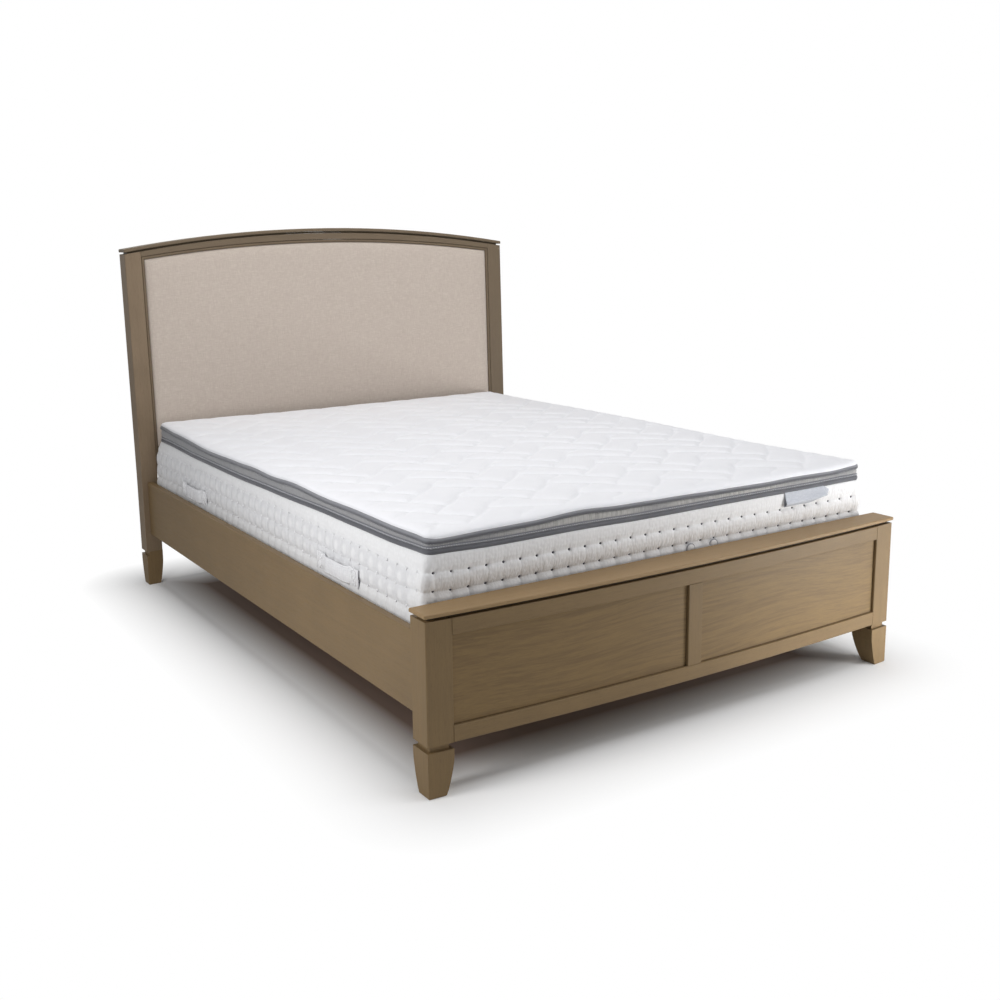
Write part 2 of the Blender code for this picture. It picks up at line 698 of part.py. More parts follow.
def build_slats():
    half = RAIL_INNER_X - SLAT_END_ROOM
    reach = MATTRESS_LENGTH / 2 - SLAT_END_SETBACK - SLAT_WIDTH / 2
    for number in range(SLAT_COUNT):
        middle = MATTRESS_Y + reach * (2 * number / (SLAT_COUNT - 1) - 1)
        along = (middle - SLAT_WIDTH / 2, middle + SLAT_WIDTH / 2)
        long_board(f"slat_{number + 1:02d}", (-half, half), along, (SLAT_BOTTOM, SLAT_TOP), 0, PLY)


def beam_hanger(name, y_range, beam_bottom):
    """A bent steel trough, fixed to a board, that an end of the centre beam sits in."""
    half = BEAM_WIDTH / 2 + CLEARANCE
    outer = half + BRACKET_STEEL
    floor = beam_bottom - CLEARANCE
    top = floor + HANGER_CHEEK
    profile = [(-outer, floor - BRACKET_STEEL), (outer, floor - BRACKET_STEEL), (outer, top), (half, top),
               (half, floor), (-half, floor), (-half, top), (-outer, top)]
    outline = [(x, 0, z) for x, z in profile]
    return piece(name, prism(outline, Vector((0, y_range[0], 0)), Vector((0, y_range[1], 0))), STEEL)


def round_cutter(name, radius, middle, low, high):
    bm = bmesh.new()
    bmesh.ops.create_cone(bm, cap_ends=True, segments=GLIDE_SIDES, radius1=radius, radius2=radius,
                          depth=high - low)
    bmesh.ops.translate(bm, vec=(0, middle, (low + high) / 2), verts=bm.verts)
    mesh = bpy.data.meshes.new(name)
    bm.to_mesh(mesh)
    bm.free()
    cutter = bpy.data.objects.new(name, mesh)
    cutter.hide_render = True
    cutter.display_type = "WIRE"
    CUTTERS.objects.link(cutter)
    return cutter


def centre_leg(name, middle, top):
    """A leg under the centre beam, bored from below for its screw glide."""
    half = CENTRE_LEG_WIDTH / 2
    along = (middle - half, middle + half)
    leg = long_board(name, (-half, half), along, (CENTRE_LEG_LIFT, top), 2, PLY)
    bore_top = CENTRE_LEG_LIFT + GLIDE_BORE_DEPTH
    bore = leg.modifiers.new("glide bore", "BOOLEAN")
    bore.operation = "DIFFERENCE"
    bore.solver = "EXACT"
    bore.object = round_cutter(f"{name}_bore", GLIDE_STEM_RADIUS + GLIDE_BORE_ROOM, middle,
                               CENTRE_LEG_LIFT - GLIDE_BORE_DEPTH, bore_top)
    return leg


def screw_glide(name, middle):
    """A nylon foot on a threaded stem, turned from one profile, with its origin on its axis."""
    stem_top = CENTRE_LEG_LIFT + GLIDE_STEM_HOLD
    profile = [(0, stem_top), (GLIDE_STEM_RADIUS, stem_top), (GLIDE_STEM_RADIUS, GLIDE_HEIGHT),
               (GLIDE_SHOULDER_RADIUS, GLIDE_HEIGHT), (GLIDE_RADIUS, GLIDE_HEIGHT / 2), (GLIDE_RADIUS, 0),
               (0, 0)]
    bm = bmesh.new()
    points = [bm.verts.new((radius, 0, height)) for radius, height in profile]
    for above, below in zip(points, points[1:]):
        bm.edges.new((above, below))
    glide = piece(name, bm, NYLON)
    glide.location = (0, middle, 0)
    turned = glide.modifiers.new("turned", "SCREW")
    turned.steps = GLIDE_SIDES
    turned.render_steps = GLIDE_SIDES
    turned.use_merge_vertices = True
    turned.merge_threshold = WELD
    return glide


def build_centre_support():
    near = FOOT_FACE_Y + FOOT_FRAME_THICKNESS - foot_bow(MUNTIN_WIDTH / 2) + CLEARANCE
    far = HEAD_FACE_Y + head_bow(BEAM_WIDTH) - CLEARANCE
    top = SLAT_BOTTOM - CLEARANCE
    bottom = top - BEAM_HEIGHT
    half = BEAM_WIDTH / 2
    long_board("centre_beam", (-half, half), (near, far), (bottom, top), 1, PLY)
    beam_hanger("foot_beam_hanger", (near, near + HANGER_LENGTH), bottom)
    beam_hanger("head_beam_hanger", (far - HANGER_LENGTH, far), bottom)
    for word, share in zip(("foot", "head"), CENTRE_LEG_SHARES):
        middle = near + share * (far - near)
        centre_leg(f"{word}_centre_leg", middle, bottom - CLEARANCE)
        screw_glide(f"{word}_centre_glide", middle)


def build_base():
    for side, word in ((-1, "left"), (1, "right")):
        build_side(word, side)
        corner_bracket(f"foot_{word}_corner_bracket", side, FOOT_BACK_Y + CLEARANCE, 1)
        corner_bracket(f"head_{word}_corner_bracket", side, head_seat_y(RAIL_INNER_X) - CLEARANCE, -1)
    build_slats()
    build_centre_support()


# Mattress, drawn round its own middle

RIM_STATIONS = 4 * (CORNER_STEPS + 1)


def rim_point(station, inset):
    """A point on the mattress's outline, drawn in by inset."""
    corner, step = divmod(station % RIM_STATIONS, CORNER_STEPS + 1)
    turn = (corner + step / CORNER_STEPS) * pi / 2
    side_x, side_y = ((1, 1), (-1, 1), (-1, -1), (1, -1))[corner]
    centre_x = side_x * (HALF_MATTRESS - MATTRESS_CORNER)
    centre_y = side_y * (MATTRESS_LENGTH / 2 - MATTRESS_CORNER)
    radius = MATTRESS_CORNER - inset
    return centre_x + radius * cos(turn), centre_y + radius * sin(turn)


def core_profile():
    """The core's side as (inset, height) pairs: a soft roll between each two rows of tufts."""
    rows = [FIRST_TUFT_ROW + row * TUFT_ROW_PITCH for row in range(TUFT_ROWS)]
    tape_bottom = CORE_HEIGHT - CORE_TOP_LIP - CLEARANCE
    seams = [CORE_BOTTOM_ROUND, *rows, tape_bottom]
    profile = [(CORE_BOTTOM_ROUND, CLEARANCE), (TUFT_DRAW_IN, CORE_BOTTOM_ROUND / 2)]
    for low, high in zip(seams, seams[1:]):
        quarter = (high - low) / 4
        profile += [(TUFT_DRAW_IN, low), (TUFT_DRAW_IN / 4, low + quarter), (0, low + 2 * quarter),
                    (TUFT_DRAW_IN / 4, high - quarter)]
    neck = TAPE_DEPTH + CLEARANCE
    return profile + [(TUFT_DRAW_IN, tape_bottom), (neck, tape_bottom), (neck, CORE_HEIGHT - CLEARANCE)]


def side_swell(height):
    """How far a long side of the core stands out past the tapes at a height above the slats."""
    fall = max(0, height - SIDE_SWELL_HEIGHT) / (CORE_HEIGHT - CORE_TOP_LIP - SIDE_SWELL_HEIGHT)
    return SIDE_SWELL * (1 - min(1, fall) ** 2)


def mattress_core(parent):
    profile = core_profile()

    def place(station, row):
        inset, height = profile[row]
        x, y = rim_point(station, inset)
        return Vector((x + copysign(side_swell(height), x), y, SLAT_TOP + height))

    bm = formed_grid(RIM_STATIONS, len(profile) - 1, place, closed_across=True)
    bmesh.ops.holes_fill(bm, edges=bm.edges, sides=RIM_STATIONS)
    return piece("mattress_core", bm, TICKING, parent, smooth=True)


def edge_tape(name, bottom, height, parent):
    """A ribbon sewn round the mattress, with rounded outer edges."""
    low = bottom + CLEARANCE
    high = bottom + height - CLEARANCE
    section = [(TAPE_DEPTH, low), (TAPE_EDGE_ROUND, low), (0, low + TAPE_EDGE_ROUND),
               (0, high - TAPE_EDGE_ROUND), (TAPE_EDGE_ROUND, high), (TAPE_DEPTH, high)]

    def place(corner, station):
        inset, z = section[corner]
        return Vector((*rim_point(station, inset), z))

    bm = formed_grid(len(section), RIM_STATIONS, place, closed_across=True, closed_along=True)
    return piece(name, bm, GREY_TAPE, parent, smooth=True)


def quilt_lines(half, pitch):
    """Grid lines over the pillow-top: three in each rolled edge, and even steps of the quilting between."""
    edge = [half, half - PILLOW_EDGE_ROLL / 3, half - PILLOW_EDGE_ROLL]
    count = ceil((half - PILLOW_EDGE_ROLL) / pitch) - 1
    return [-place for place in edge] + [step * pitch for step in range(-count, count + 1)] + edge[::-1]


class PillowOutline:
    """A rectangle with round corners, which the pillow-top's rim follows."""

    def __init__(self):
        self.half_x = HALF_MATTRESS - TAPE_DEPTH - CLEARANCE
        self.half_y = MATTRESS_LENGTH / 2 - TAPE_DEPTH - CLEARANCE
        self.radius = MATTRESS_CORNER - TAPE_DEPTH / 2

    def rounded(self, x, y):
        """Draws a point of the corner square in to a quarter disc."""
        past_x = (abs(x) - (self.half_x - self.radius)) / self.radius
        past_y = (abs(y) - (self.half_y - self.radius)) / self.radius
        if past_x <= 0 or past_y <= 0:
            return x, y
        round_x = self.half_x - self.radius + self.radius * past_x * sqrt(1 - past_y**2 / 2)
        round_y = self.half_y - self.radius + self.radius * past_y * sqrt(1 - past_x**2 / 2)
        return (round_x if x > 0 else -round_x), (round_y if y > 0 else -round_y)

    def outward(self, co):
        """The level direction in which a point of the rim faces."""
        nearest_x = max(self.radius - self.half_x, min(self.half_x - self.radius, co.x))
        nearest_y = max(self.radius - self.half_y, min(self.half_y - self.radius, co.y))
        return Vector((co.x - nearest_x, co.y - nearest_y, 0)).normalized()


def pillow_top(parent):
    """The sewn-on comfort layer: a crowned, quilted top over a narrow side band between the two tapes."""
    outline = PillowOutline()
    edge_top = CORE_TOP + PILLOW_EDGE_HEIGHT
    columns = quilt_lines(outline.half_x, QUILT_PERIOD_ACROSS / 4)
    rows = quilt_lines(outline.half_y, QUILT_PERIOD_ALONG / 2)

    def crown(x, y):
        distance = min(outline.half_x - abs(x), outline.half_y - abs(y))
        share = min(1, max(0, distance / PILLOW_EDGE_ROLL))
        across = x / QUILT_PERIOD_ACROSS
        along = y / QUILT_PERIOD_ALONG
        puff = abs(sin(pi * (across + along)) * sin(pi * (across - along)))
        return sqrt(1 - (1 - share) ** 2) * (PILLOW_CROWN + QUILT_PUFF * puff)

    def place(column, row):
        x, y = columns[column], rows[row]
        return Vector((*outline.rounded(x, y), edge_top + crown(x, y)))

    bm = formed_grid(len(columns) - 1, len(rows) - 1, place)
    band_low = CORE_TOP - CORE_TOP_LIP + LOWER_TAPE_HEIGHT
    band_high = edge_top - UPPER_TAPE_HEIGHT - CLEARANCE
    band_reach = TAPE_DEPTH - BAND_SETBACK
    levels = [(0, band_high), (band_reach, (band_low + band_high) / 2), (-band_reach, band_low),
              (0, CORE_TOP + CLEARANCE)]
    rim = [edge for edge in bm.edges if edge.is_boundary]
    for step_out, height in levels:
        made = bmesh.ops.extrude_edge_only(bm, edges=rim)["geom"]
        rim = [item for item in made if isinstance(item, bmesh.types.BMEdge) and item.is_boundary]
        for vert in {vert for edge in rim for vert in edge.verts}:
            vert.co += outline.outward(vert.co) * step_out
            vert.co.z = height
    bmesh.ops.holes_fill(bm, edges=[edge for edge in bm.edges if edge.is_boundary])
    return piece("mattress_pillow_top", bm, TICKING, parent, smooth=True)


def mattress_handle(name, side, middle, parent):
    """A strap sewn down at both ends, with room for fingers behind its middle."""
    inner = []
    outer = []
    for along, bulge in zip(HANDLE_ALONG_SHARES, HANDLE_BULGE_SHARES):
        x = HALF_MATTRESS + SIDE_SWELL + CLEARANCE + HANDLE_BULGE * bulge
        y = middle + along * HANDLE_LENGTH
        inner.append((side * x, y))
        outer.append((side * (x + HANDLE_THICKNESS), y))
    bottom = SLAT_TOP + HANDLE_CENTRE_HEIGHT - HANDLE_HEIGHT / 2
    bm = stile(inner + outer[::-1], bottom, bottom + HANDLE_HEIGHT)
    return piece(name, bm, TICKING, parent)


def mattress_label(parent):
    """A flap of cloth that hangs from the lower tape, with its free edge lifting a little."""
    hinge_y = TAPE_EDGE_ROUND - MATTRESS_LENGTH / 2
    hinge_z = CORE_TOP - CORE_TOP_LIP
    hinge_x = HALF_MATTRESS - LABEL_FROM_SIDE
    hinge = placed_empty("mattress_label_hinge", (hinge_x, hinge_y, hinge_z), parent)
    face = []
    back = []
    for step in range(LABEL_STEPS + 1):
        share = step / LABEL_STEPS
        y, z = -LABEL_CURL * share * (1 + share) / 2, -LABEL_HEIGHT * share
        face.append((y, z))
        back.append((y + LABEL_THICKNESS, z))
    bm = board(back + face[::-1], -LABEL_WIDTH / 2, LABEL_WIDTH / 2)
    return piece("mattress_label", bm, LABEL_CLOTH, hinge)


def build_mattress():
    mattress = placed_empty("mattress", (0, MATTRESS_Y, 0))
    mattress_core(mattress)
    edge_tape("mattress_lower_tape", CORE_TOP - CORE_TOP_LIP, LOWER_TAPE_HEIGHT, mattress)
    edge_tape("mattress_upper_tape", CORE_TOP + PILLOW_EDGE_HEIGHT - UPPER_TAPE_HEIGHT, UPPER_TAPE_HEIGHT,
              mattress)
    pillow_top(mattress)
    foot_place = HANDLE_FROM_FOOT - MATTRESS_LENGTH / 2
    head_place = MATTRESS_LENGTH / 2 - HANDLE_FROM_HEAD
    for side, word in ((-1, "left"), (1, "right")):
        mattress_handle(f"mattress_{word}_foot_handle", side, foot_place, mattress)
        mattress_handle(f"mattress_{word}_head_handle", side, head_place, mattress)
    mattress_label(mattress)


build_footboard()
build_headboard()
build_base()
build_mattress()
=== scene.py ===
"""The bed, dressed: washed oak, oatmeal linen and a quilted pillow-top mattress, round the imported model."""

from functools import partial
from math import atan2, ceil, copysign, cos, exp, pi, radians, sin, sqrt

import bmesh
import bpy
from mathutils import Matrix, Vector, noise
from mathutils.kdtree import KDTree


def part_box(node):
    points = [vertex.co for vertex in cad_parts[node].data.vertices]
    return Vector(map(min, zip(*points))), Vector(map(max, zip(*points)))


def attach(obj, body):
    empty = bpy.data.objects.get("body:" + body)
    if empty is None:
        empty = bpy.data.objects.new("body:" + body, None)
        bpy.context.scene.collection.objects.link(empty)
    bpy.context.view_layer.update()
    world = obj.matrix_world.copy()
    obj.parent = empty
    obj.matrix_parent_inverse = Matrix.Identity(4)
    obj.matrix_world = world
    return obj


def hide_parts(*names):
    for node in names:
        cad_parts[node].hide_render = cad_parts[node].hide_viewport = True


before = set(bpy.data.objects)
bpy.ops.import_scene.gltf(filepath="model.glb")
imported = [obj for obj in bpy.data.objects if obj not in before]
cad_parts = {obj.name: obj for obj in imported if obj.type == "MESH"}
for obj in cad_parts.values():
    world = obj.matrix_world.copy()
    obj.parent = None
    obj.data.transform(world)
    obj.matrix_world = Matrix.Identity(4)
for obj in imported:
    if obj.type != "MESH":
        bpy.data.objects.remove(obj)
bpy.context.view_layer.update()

MM = 0.001
WELD = 0.01 * MM

# The mattress's outline and heights, as the model has them
MATTRESS_Y = 1.25 * MM
HALF_WIDTH = 0.750
HALF_LENGTH = 1.000
CORNER = 0.022
HEART_X, HEART_Y = HALF_WIDTH - CORNER, HALF_LENGTH - CORNER
SIDE_BOTTOM = 0.3253
SIDE_TOP = 0.566
SIDE_SWELL = 15 * MM
SWELL_HEIGHT = 0.465
LOW_SAG = 4 * MM
SAG_HEIGHT = 0.394
HEAD_SWELL = 8 * MM
CORNER_FILL = 6 * MM
TAPE_DEPTH = 0.014
LOWER_TAPE = (0.560, 0.581)
UPPER_TAPE = (0.591, 0.608)

# Straight runs of the outline, anticlockwise from the foot end, and how far each side is from the middle
RUNS = [2 * HEART_X, 2 * HEART_Y] * 2
REACHES = [HALF_LENGTH, HALF_WIDTH] * 2
CORNER_RUN = pi / 2 * CORNER
RIM_LENGTH = sum(RUNS) + 4 * CORNER_RUN
HALF_RIM = RIM_LENGTH / 2

# Rows of tufts round the side, by their heights, and the tufts in each row
TUFT_ROWS = (0.423, 0.469, 0.515)
ROW_PITCH = 46 * MM
TUFT_COUNT = 139
TUFT_PITCH = RIM_LENGTH / TUFT_COUNT
TUFT_OFFSET = 20 * MM
FOOT_END_Y = -0.96


# Camera: the place, turn and lens that the photograph was taken with

def place_camera():
    yaw, pitch, roll = radians(31.3324), radians(-10.8804), radians(-1.0158)
    forward = Vector((sin(yaw) * cos(pitch), cos(yaw) * cos(pitch), sin(pitch)))
    level = Vector((cos(yaw), -sin(yaw), 0))
    upright = level.cross(forward)
    right = level * cos(roll) + upright * sin(roll)
    up = upright * cos(roll) - level * sin(roll)
    data = bpy.data.cameras.new("photo_camera")
    data.sensor_width = 36
    data.lens = 1.163087 * data.sensor_width
    data.shift_x = 0.04806
    data.shift_y = -0.04272
    camera = bpy.data.objects.new("photo_camera", data)
    turn = Matrix((right, up, -forward)).transposed().to_4x4()
    camera.matrix_world = Matrix.Translation((-2.059, -3.26775, 1.304)) @ turn
    bpy.context.collection.objects.link(camera)
    bpy.context.scene.camera = camera


# Shader helpers

def linear(code):
    """An sRGB hex colour as the linear colour that a shader takes."""
    shares = [int(code[start:start + 2], 16) / 255 for start in (0, 2, 4)]
    return (*[c / 12.92 if c <= 0.04045 else ((c + 0.055) / 1.055) ** 2.4 for c in shares], 1)


def add_node(tree, kind, *values, out=None, **settings):
    """Adds a node and gives back its first output, or the one that out names. The values, constants or other nodes'
    outputs, go to its inputs in order. A setting with a capital is an input too, and any other a property."""
    made = tree.nodes.new("ShaderNode" + kind)
    for name, value in settings.items():
        if name.islower():
            setattr(made, name, value)
    given = list(zip([socket for socket in made.inputs if socket.enabled], values))
    given += [(made.inputs[name], value) for name, value in settings.items() if not name.islower()]
    for socket, value in given:
        if isinstance(value, bpy.types.NodeSocket):
            tree.links.new(value, socket)
        else:
            socket.default_value = value
    return made.outputs[out] if out else [socket for socket in made.outputs if socket.enabled][0]


def surface(name, roughness, **constants):
    """A material with a Principled shader, the call that adds a node to it, and its pieces' own coordinates."""
    made = bpy.data.materials.new(name)
    made.use_nodes = True
    shader = made.node_tree.nodes["Principled BSDF"]
    for socket, value in {"Roughness": roughness, **constants}.items():
        shader.inputs[socket.replace("_", " ")].default_value = value
    add = partial(add_node, made.node_tree)
    return made, add, add("TexCoord", out="Object")


def painted(add, ground, *coats):
    """Colours over a ground. A coat is a pattern, its values where it begins and is full, its cover and its colour."""
    colour = linear(ground)
    for pattern, begin, full, cover, code in coats:
        share = add("MapRange", pattern, begin, full, 0.0, cover)
        colour = add("Mix", share, colour, linear(code), data_type="RGBA")
    return colour


def dressed(made, add, colour, *layers, **links):
    """Gives a material's shader its colour, and a relief of height patterns, each with its depth in mm."""
    links["Base Color"] = colour
    for height, depth in layers:
        below = {"Normal": links["Normal"]} if "Normal" in links else {}
        links["Normal"] = add("Bump", Height=height, Distance=depth * MM, **below)
    for socket, output in links.items():
        made.node_tree.links.new(output, made.node_tree.nodes["Principled BSDF"].inputs[socket])
    return made


# Wood

ALONG_X, ALONG_Y, ALONG_Z = 0, 1, 2
GRAIN_STRETCH = 0.035


def stretched(grain, stretch):
    """The scale that draws a pattern out along the grain."""
    return [stretch if axis == grain else 1.0 for axis in range(3)]


def washed_oak(name, grain, shift, light="816B4B", dark="756145"):
    """Oak with a grey-brown wash under satin lacquer: soft long streaks, short dark pores and a low sheen."""
    made, add, place = surface(name, 0.45, Specular_IOR_Level=0.2)
    along = add("Mapping", place, shift, Scale=stretched(grain, GRAIN_STRETCH))
    # A growth ring's streak is about 12 mm wide, a fine streak 2 mm and a pore, drawn coarse to show, 1.2 mm
    rings = add("TexNoise", along, 1 / (12 * MM), 3.0, 0.6)
    streaks = add("TexNoise", along, 1 / (2 * MM), 2.0, 0.6)
    short = add("Mapping", place, shift, Scale=stretched(grain, 2 * GRAIN_STRETCH))
    pores = add("MapRange", add("TexNoise", short, 1 / (1.2 * MM), 1.0), 0.60, 0.74)
    # The wash lies unevenly, in clouds about 150 mm across
    clouds = add("TexNoise", add("Mapping", place, shift), 1 / (150 * MM), 2.0)
    tone = add("Math", add("Math", rings, streaks, operation="ADD"), clouds, operation="ADD")
    tone = add("Math", tone, 0.35, operation="MULTIPLY")
    colour = painted(add, dark, (tone, 0.36, 0.70, 1.0, light), (pores, 0.0, 1.0, 0.22, "463A28"))
    gloss = add("MapRange", streaks, 0.3, 0.7, 0.40, 0.55)
    return dressed(made, add, colour, (streaks, 0.02), (pores, -0.03), Roughness=gloss)


def veneered_oak(name, shift, opening):
    """Crown-cut oak veneer on the panels, washed as the solid oak is: fine ring lines that wander along X."""
    made, add, place = surface(name, 0.45, Specular_IOR_Level=0.2)
    # The crown of the cut pushes the lines up and down by some 15 mm over half a metre
    wander = add("TexNoise", add("Mapping", place, shift, Scale=(0.5, 1, 0.8)), 1 / (260 * MM), 0.0)
    lift = add("CombineXYZ", Z=add("Math", wander, 0.07, operation="MULTIPLY"))
    pushed = add("VectorMath", place, lift, operation="ADD")
    along = add("Mapping", pushed, shift, Scale=stretched(ALONG_X, GRAIN_STRETCH))
    # Ring lines lie about 8 mm apart, fine streaks 2 mm
    rings = add("TexNoise", along, 1 / (8 * MM), 2.0, 0.55)
    streaks = add("TexNoise", along, 1 / (2 * MM), 1.0, 0.6)
    short = add("Mapping", place, shift, Scale=stretched(ALONG_X, 2 * GRAIN_STRETCH))
    pores = add("MapRange", add("TexNoise", short, 1 / (1.2 * MM), 1.0), 0.58, 0.74)
    # A dark line painted in the corner between the panel and its frame, 3 mm wide: partly the joint, partly painted
    # shade where the frame shades the panel
    parts = add("SeparateXYZ", place).node.outputs
    inside = None
    for axis, low, high in opening:
        for first, second in ((parts[axis], low), (high, parts[axis])):
            room = add("Math", first, second, operation="SUBTRACT")
            inside = add("Math", inside, room, operation="MINIMUM") if inside else room
    colour = painted(add, "756042", (add("Mix", 0.45, rings, streaks), 0.38, 0.64, 1.0, "806946"),
                     (rings, 0.50, 0.34, 0.21, "634F37"), (pores, 0.0, 1.0, 0.18, "463A28"),
                     (inside, 3.0 * MM, 1.0 * MM, 0.7, "3E3120"))
    return dressed(made, add, colour, (streaks, 0.02), (pores, -0.03))


def sawn_pine(name, grain, shift):
    """Planed pine of the slats and ledges: pale, with honey-coloured rings and a few knots."""
    made, add, place = surface(name, 0.62)
    along = add("Mapping", place, shift, Scale=stretched(grain, 0.05))
    # Rings lie about 9 mm apart, fine lines 1.5 mm and knots 210 mm
    rings = add("TexNoise", along, 1 / (9 * MM), 3.0, 0.6)
    fine = add("TexNoise", along, 1 / (1.5 * MM), 1.0)
    knots = add("TexVoronoi", add("Mapping", place, shift), 1 / (210 * MM))
    colour = painted(add, "C9AC7E", (rings, 0.35, 0.68, 1.0, "DCC59C"), (fine, 0.4, 0.8, 0.25, "B4936A"),
                     (knots, 0.055, 0.03, 0.7, "7E5A37"))
    return dressed(made, add, colour, (rings, 0.15))


# Cloth

def oatmeal_linen(name):
    """Heathered oatmeal linen: slubbed threads in both directions, matt, with a faint bloom at the edges."""
    made, add, place = surface(name, 0.92, Sheen_Weight=0.25, Sheen_Roughness=0.5, Specular_IOR_Level=0.2)
    # Threads are 0.7 mm apart and drawn 2.2 mm apart, as coarse as the picture can show
    weft = add("TexNoise", add("Mapping", place, Scale=(0.10, 1, 1)), 1 / (2.2 * MM), 1.0)
    warp = add("TexNoise", add("Mapping", place, Scale=(1, 1, 0.10)), 1 / (2.2 * MM), 1.0)
    slubs = add("TexNoise", add("Mapping", place, Scale=(0.22, 1, 1)), 1 / (5 * MM), 2.0)
    mottle = add("TexNoise", place, 1 / (28 * MM), 3.0, 0.6)
    colour = painted(add, "BFB2A7", (warp, 0.3, 0.7, 1.0, "CBC0B4"), (weft, 0.35, 0.7, 0.5, "B3A69A"),
                     (slubs, 0.55, 0.75, 0.35, "D1C6BC"), (mottle, 0.35, 0.65, 0.22, "BCACA4"))
    return dressed(made, add, colour, (warp, 0.35), (weft, 0.35))


def damask_ticking(name):
    """White damask of the mattress's sides: a small raised figure, and upright wrinkles where tufts pull it, with
    painted shade in their creases at the foot end.
    """
    made, add, place = surface(name, 0.78, Sheen_Weight=0.3, Sheen_Roughness=0.4, Specular_IOR_Level=0.3)

    def within(*windows):
        """The share of a place that lies inside every window, each a value with its outer and inner bound."""
        share = 1.0
        for value, outer, inner in windows:
            share = add("Math", share, add("MapRange", value, outer, inner), operation="MULTIPLY")
        return share

    x_y_z = add("SeparateXYZ", place).node.outputs
    # The woven figure repeats about every 9 mm round the side, the wrinkles about every 5 mm
    figure = add("TexVoronoi", add("Mapping", place, Scale=(1, 1, 0.75)), 1 / (9 * MM), Randomness=0.55,
                 feature="SMOOTH_F1")
    raised = add("MapRange", figure, 0.6, 0.2)
    threads = add("TexNoise", add("Mapping", place, Scale=(1, 1, 0.25)), 1 / (2.4 * MM), 2.0)
    wrinkles = add("TexNoise", add("Mapping", place, Scale=(1, 1, 0.16)), 1 / (5 * MM), 2.0, 0.55)
    # They are deepest at the foot end, between the upper and the middle row of tufts, where their creases also get a
    # painted shade of warm grey
    at_foot = within((x_y_z["Y"], -0.955, -0.985), (x_y_z["Z"], 0.514, 0.482), (x_y_z["Z"], 0.462, 0.474))
    crease_shade = within((wrinkles, 0.62, 0.36), (at_foot, 0.0, 1.0))
    # On the long sides the padding between each four tufts catches the light as an upright oval: the cloth round each
    # oval gets a painted shade of grey, which leaves the oval as a painted highlight
    turns = add("SeparateXYZ", place.node.outputs["UV"])
    turns = add("Math", turns, TUFT_COUNT, operation="MULTIPLY")
    rises = add("Math", x_y_z["Z"], TUFT_ROWS[0], operation="SUBTRACT")
    rises = add("Math", rises, ROW_PITCH, operation="DIVIDE")
    far = 0.0
    for beat, radius in ((turns, 0.14), (rises, 0.29)):
        beat = add("Math", add("Math", beat, operation="FRACT"), 0.5, operation="SUBTRACT")
        beat = add("Math", add("Math", beat, radius, operation="DIVIDE"), 2.0, operation="POWER")
        far = add("Math", far, beat, operation="ADD")
    oval_shade = within((far, 0.2, 1.6), (x_y_z["Y"], -0.955, -0.92), (x_y_z["Z"], 0.525, 0.510),
                    (x_y_z["Z"], 0.415, 0.440))
    colour = painted(add, "EBEBEC", (raised, 0.0, 1.0, 0.5, "F5F5F6"), (threads, 0.35, 0.7, 0.22, "DAD8D6"),
                     (crease_shade, 0.0, 1.0, 0.35, "C4BCB4"), (oval_shade, 0.0, 1.0, 0.34, "C6C6CA"))
    ridges = add("Math", wrinkles, add("MapRange", at_foot, 0.0, 1.0, 0.2, 1.0), operation="MULTIPLY")
    return dressed(made, add, colour, (raised, 0.6), (threads, 0.4), (ridges, 2.0))


def quilted_knit(name):
    """Soft white stretch knit of the pillow top: nearly shadowless, with a fine knitted pebble."""
    made, add, place = surface(name, 0.85, Sheen_Weight=0.35, Sheen_Roughness=0.45, Specular_IOR_Level=0.25)
    pebble = add("TexVoronoi", add("Mapping", place, Scale=(1, 0.6, 1)), 1 / (4 * MM), feature="SMOOTH_F1")
    colour = painted(add, "F3F3F6", (add("TexNoise", place, 1 / (60 * MM), 3.0), 0.3, 0.7, 0.4, "EBEBEF"))
    return dressed(made, add, colour, (add("MapRange", pebble, 0.1, 0.7), 0.25))


def ribbed_tape(name, light="808187", dark="505157", turn=0.42):
    """Grey woven ribbon of the edges: cross ribs every 2 mm, an upper half painted lighter as a painted highlight
    where its round top faces the light, and a lower half painted darker as painted shade.
    """
    made, add, place = surface(name, 0.55, Sheen_Weight=0.4, Sheen_Roughness=0.35, Specular_IOR_Level=0.5)
    flat = place.node.outputs["UV"]
    woven = add("Mapping", flat, Scale=(RIM_LENGTH, 40 * MM, 1))
    ribs = add("TexWave", woven, 1 / (2.2 * MM * pi), 0.6, 1.0, out="Fac")
    cords = add("TexWave", woven, 1 / (1.8 * MM * pi), bands_direction="Y", out="Fac")
    patches = add("TexNoise", place, 1 / (90 * MM), 2.0)
    # The upper half, painted lighter as a painted highlight, begins a share of the way round the ribbon's section
    up = add("SeparateXYZ", flat, out="Y")
    colour = painted(add, dark, (up, turn - 0.07, turn + 0.09, 1.0, light), (ribs, 0.2, 0.8, 0.28, "4A4B50"),
                     (patches, 0.3, 0.7, 0.35, "6C6D74"))
    return dressed(made, add, colour, (ribs, 0.12), (cords, 0.3))


def pleated_knit(name):
    """Pale grey knit of the band between the tapes, gathered into short upright pleats."""
    made, add, place = surface(name, 0.9, Sheen_Weight=0.3)
    flat = add("Mapping", place.node.outputs["UV"], Scale=(RIM_LENGTH, 2.4 * MM, 1))
    pleats = add("TexNoise", flat, 1 / (4 * MM), 2.0)
    # It is painted darker along the left side, a painted shade, and is darker in stretches a hand or two long
    colour = painted(add, "9C9A97", (pleats, 0.3, 0.7, 1.0, "C6C4C1"),
                     (add("SeparateXYZ", place), -0.70, -0.75, 0.8, "88888C"),
                     (add("TexNoise", place, 1 / (260 * MM), 1.0), 0.42, 0.58, 0.75, "8E8E91"))
    return dressed(made, add, colour, (pleats, 0.8))


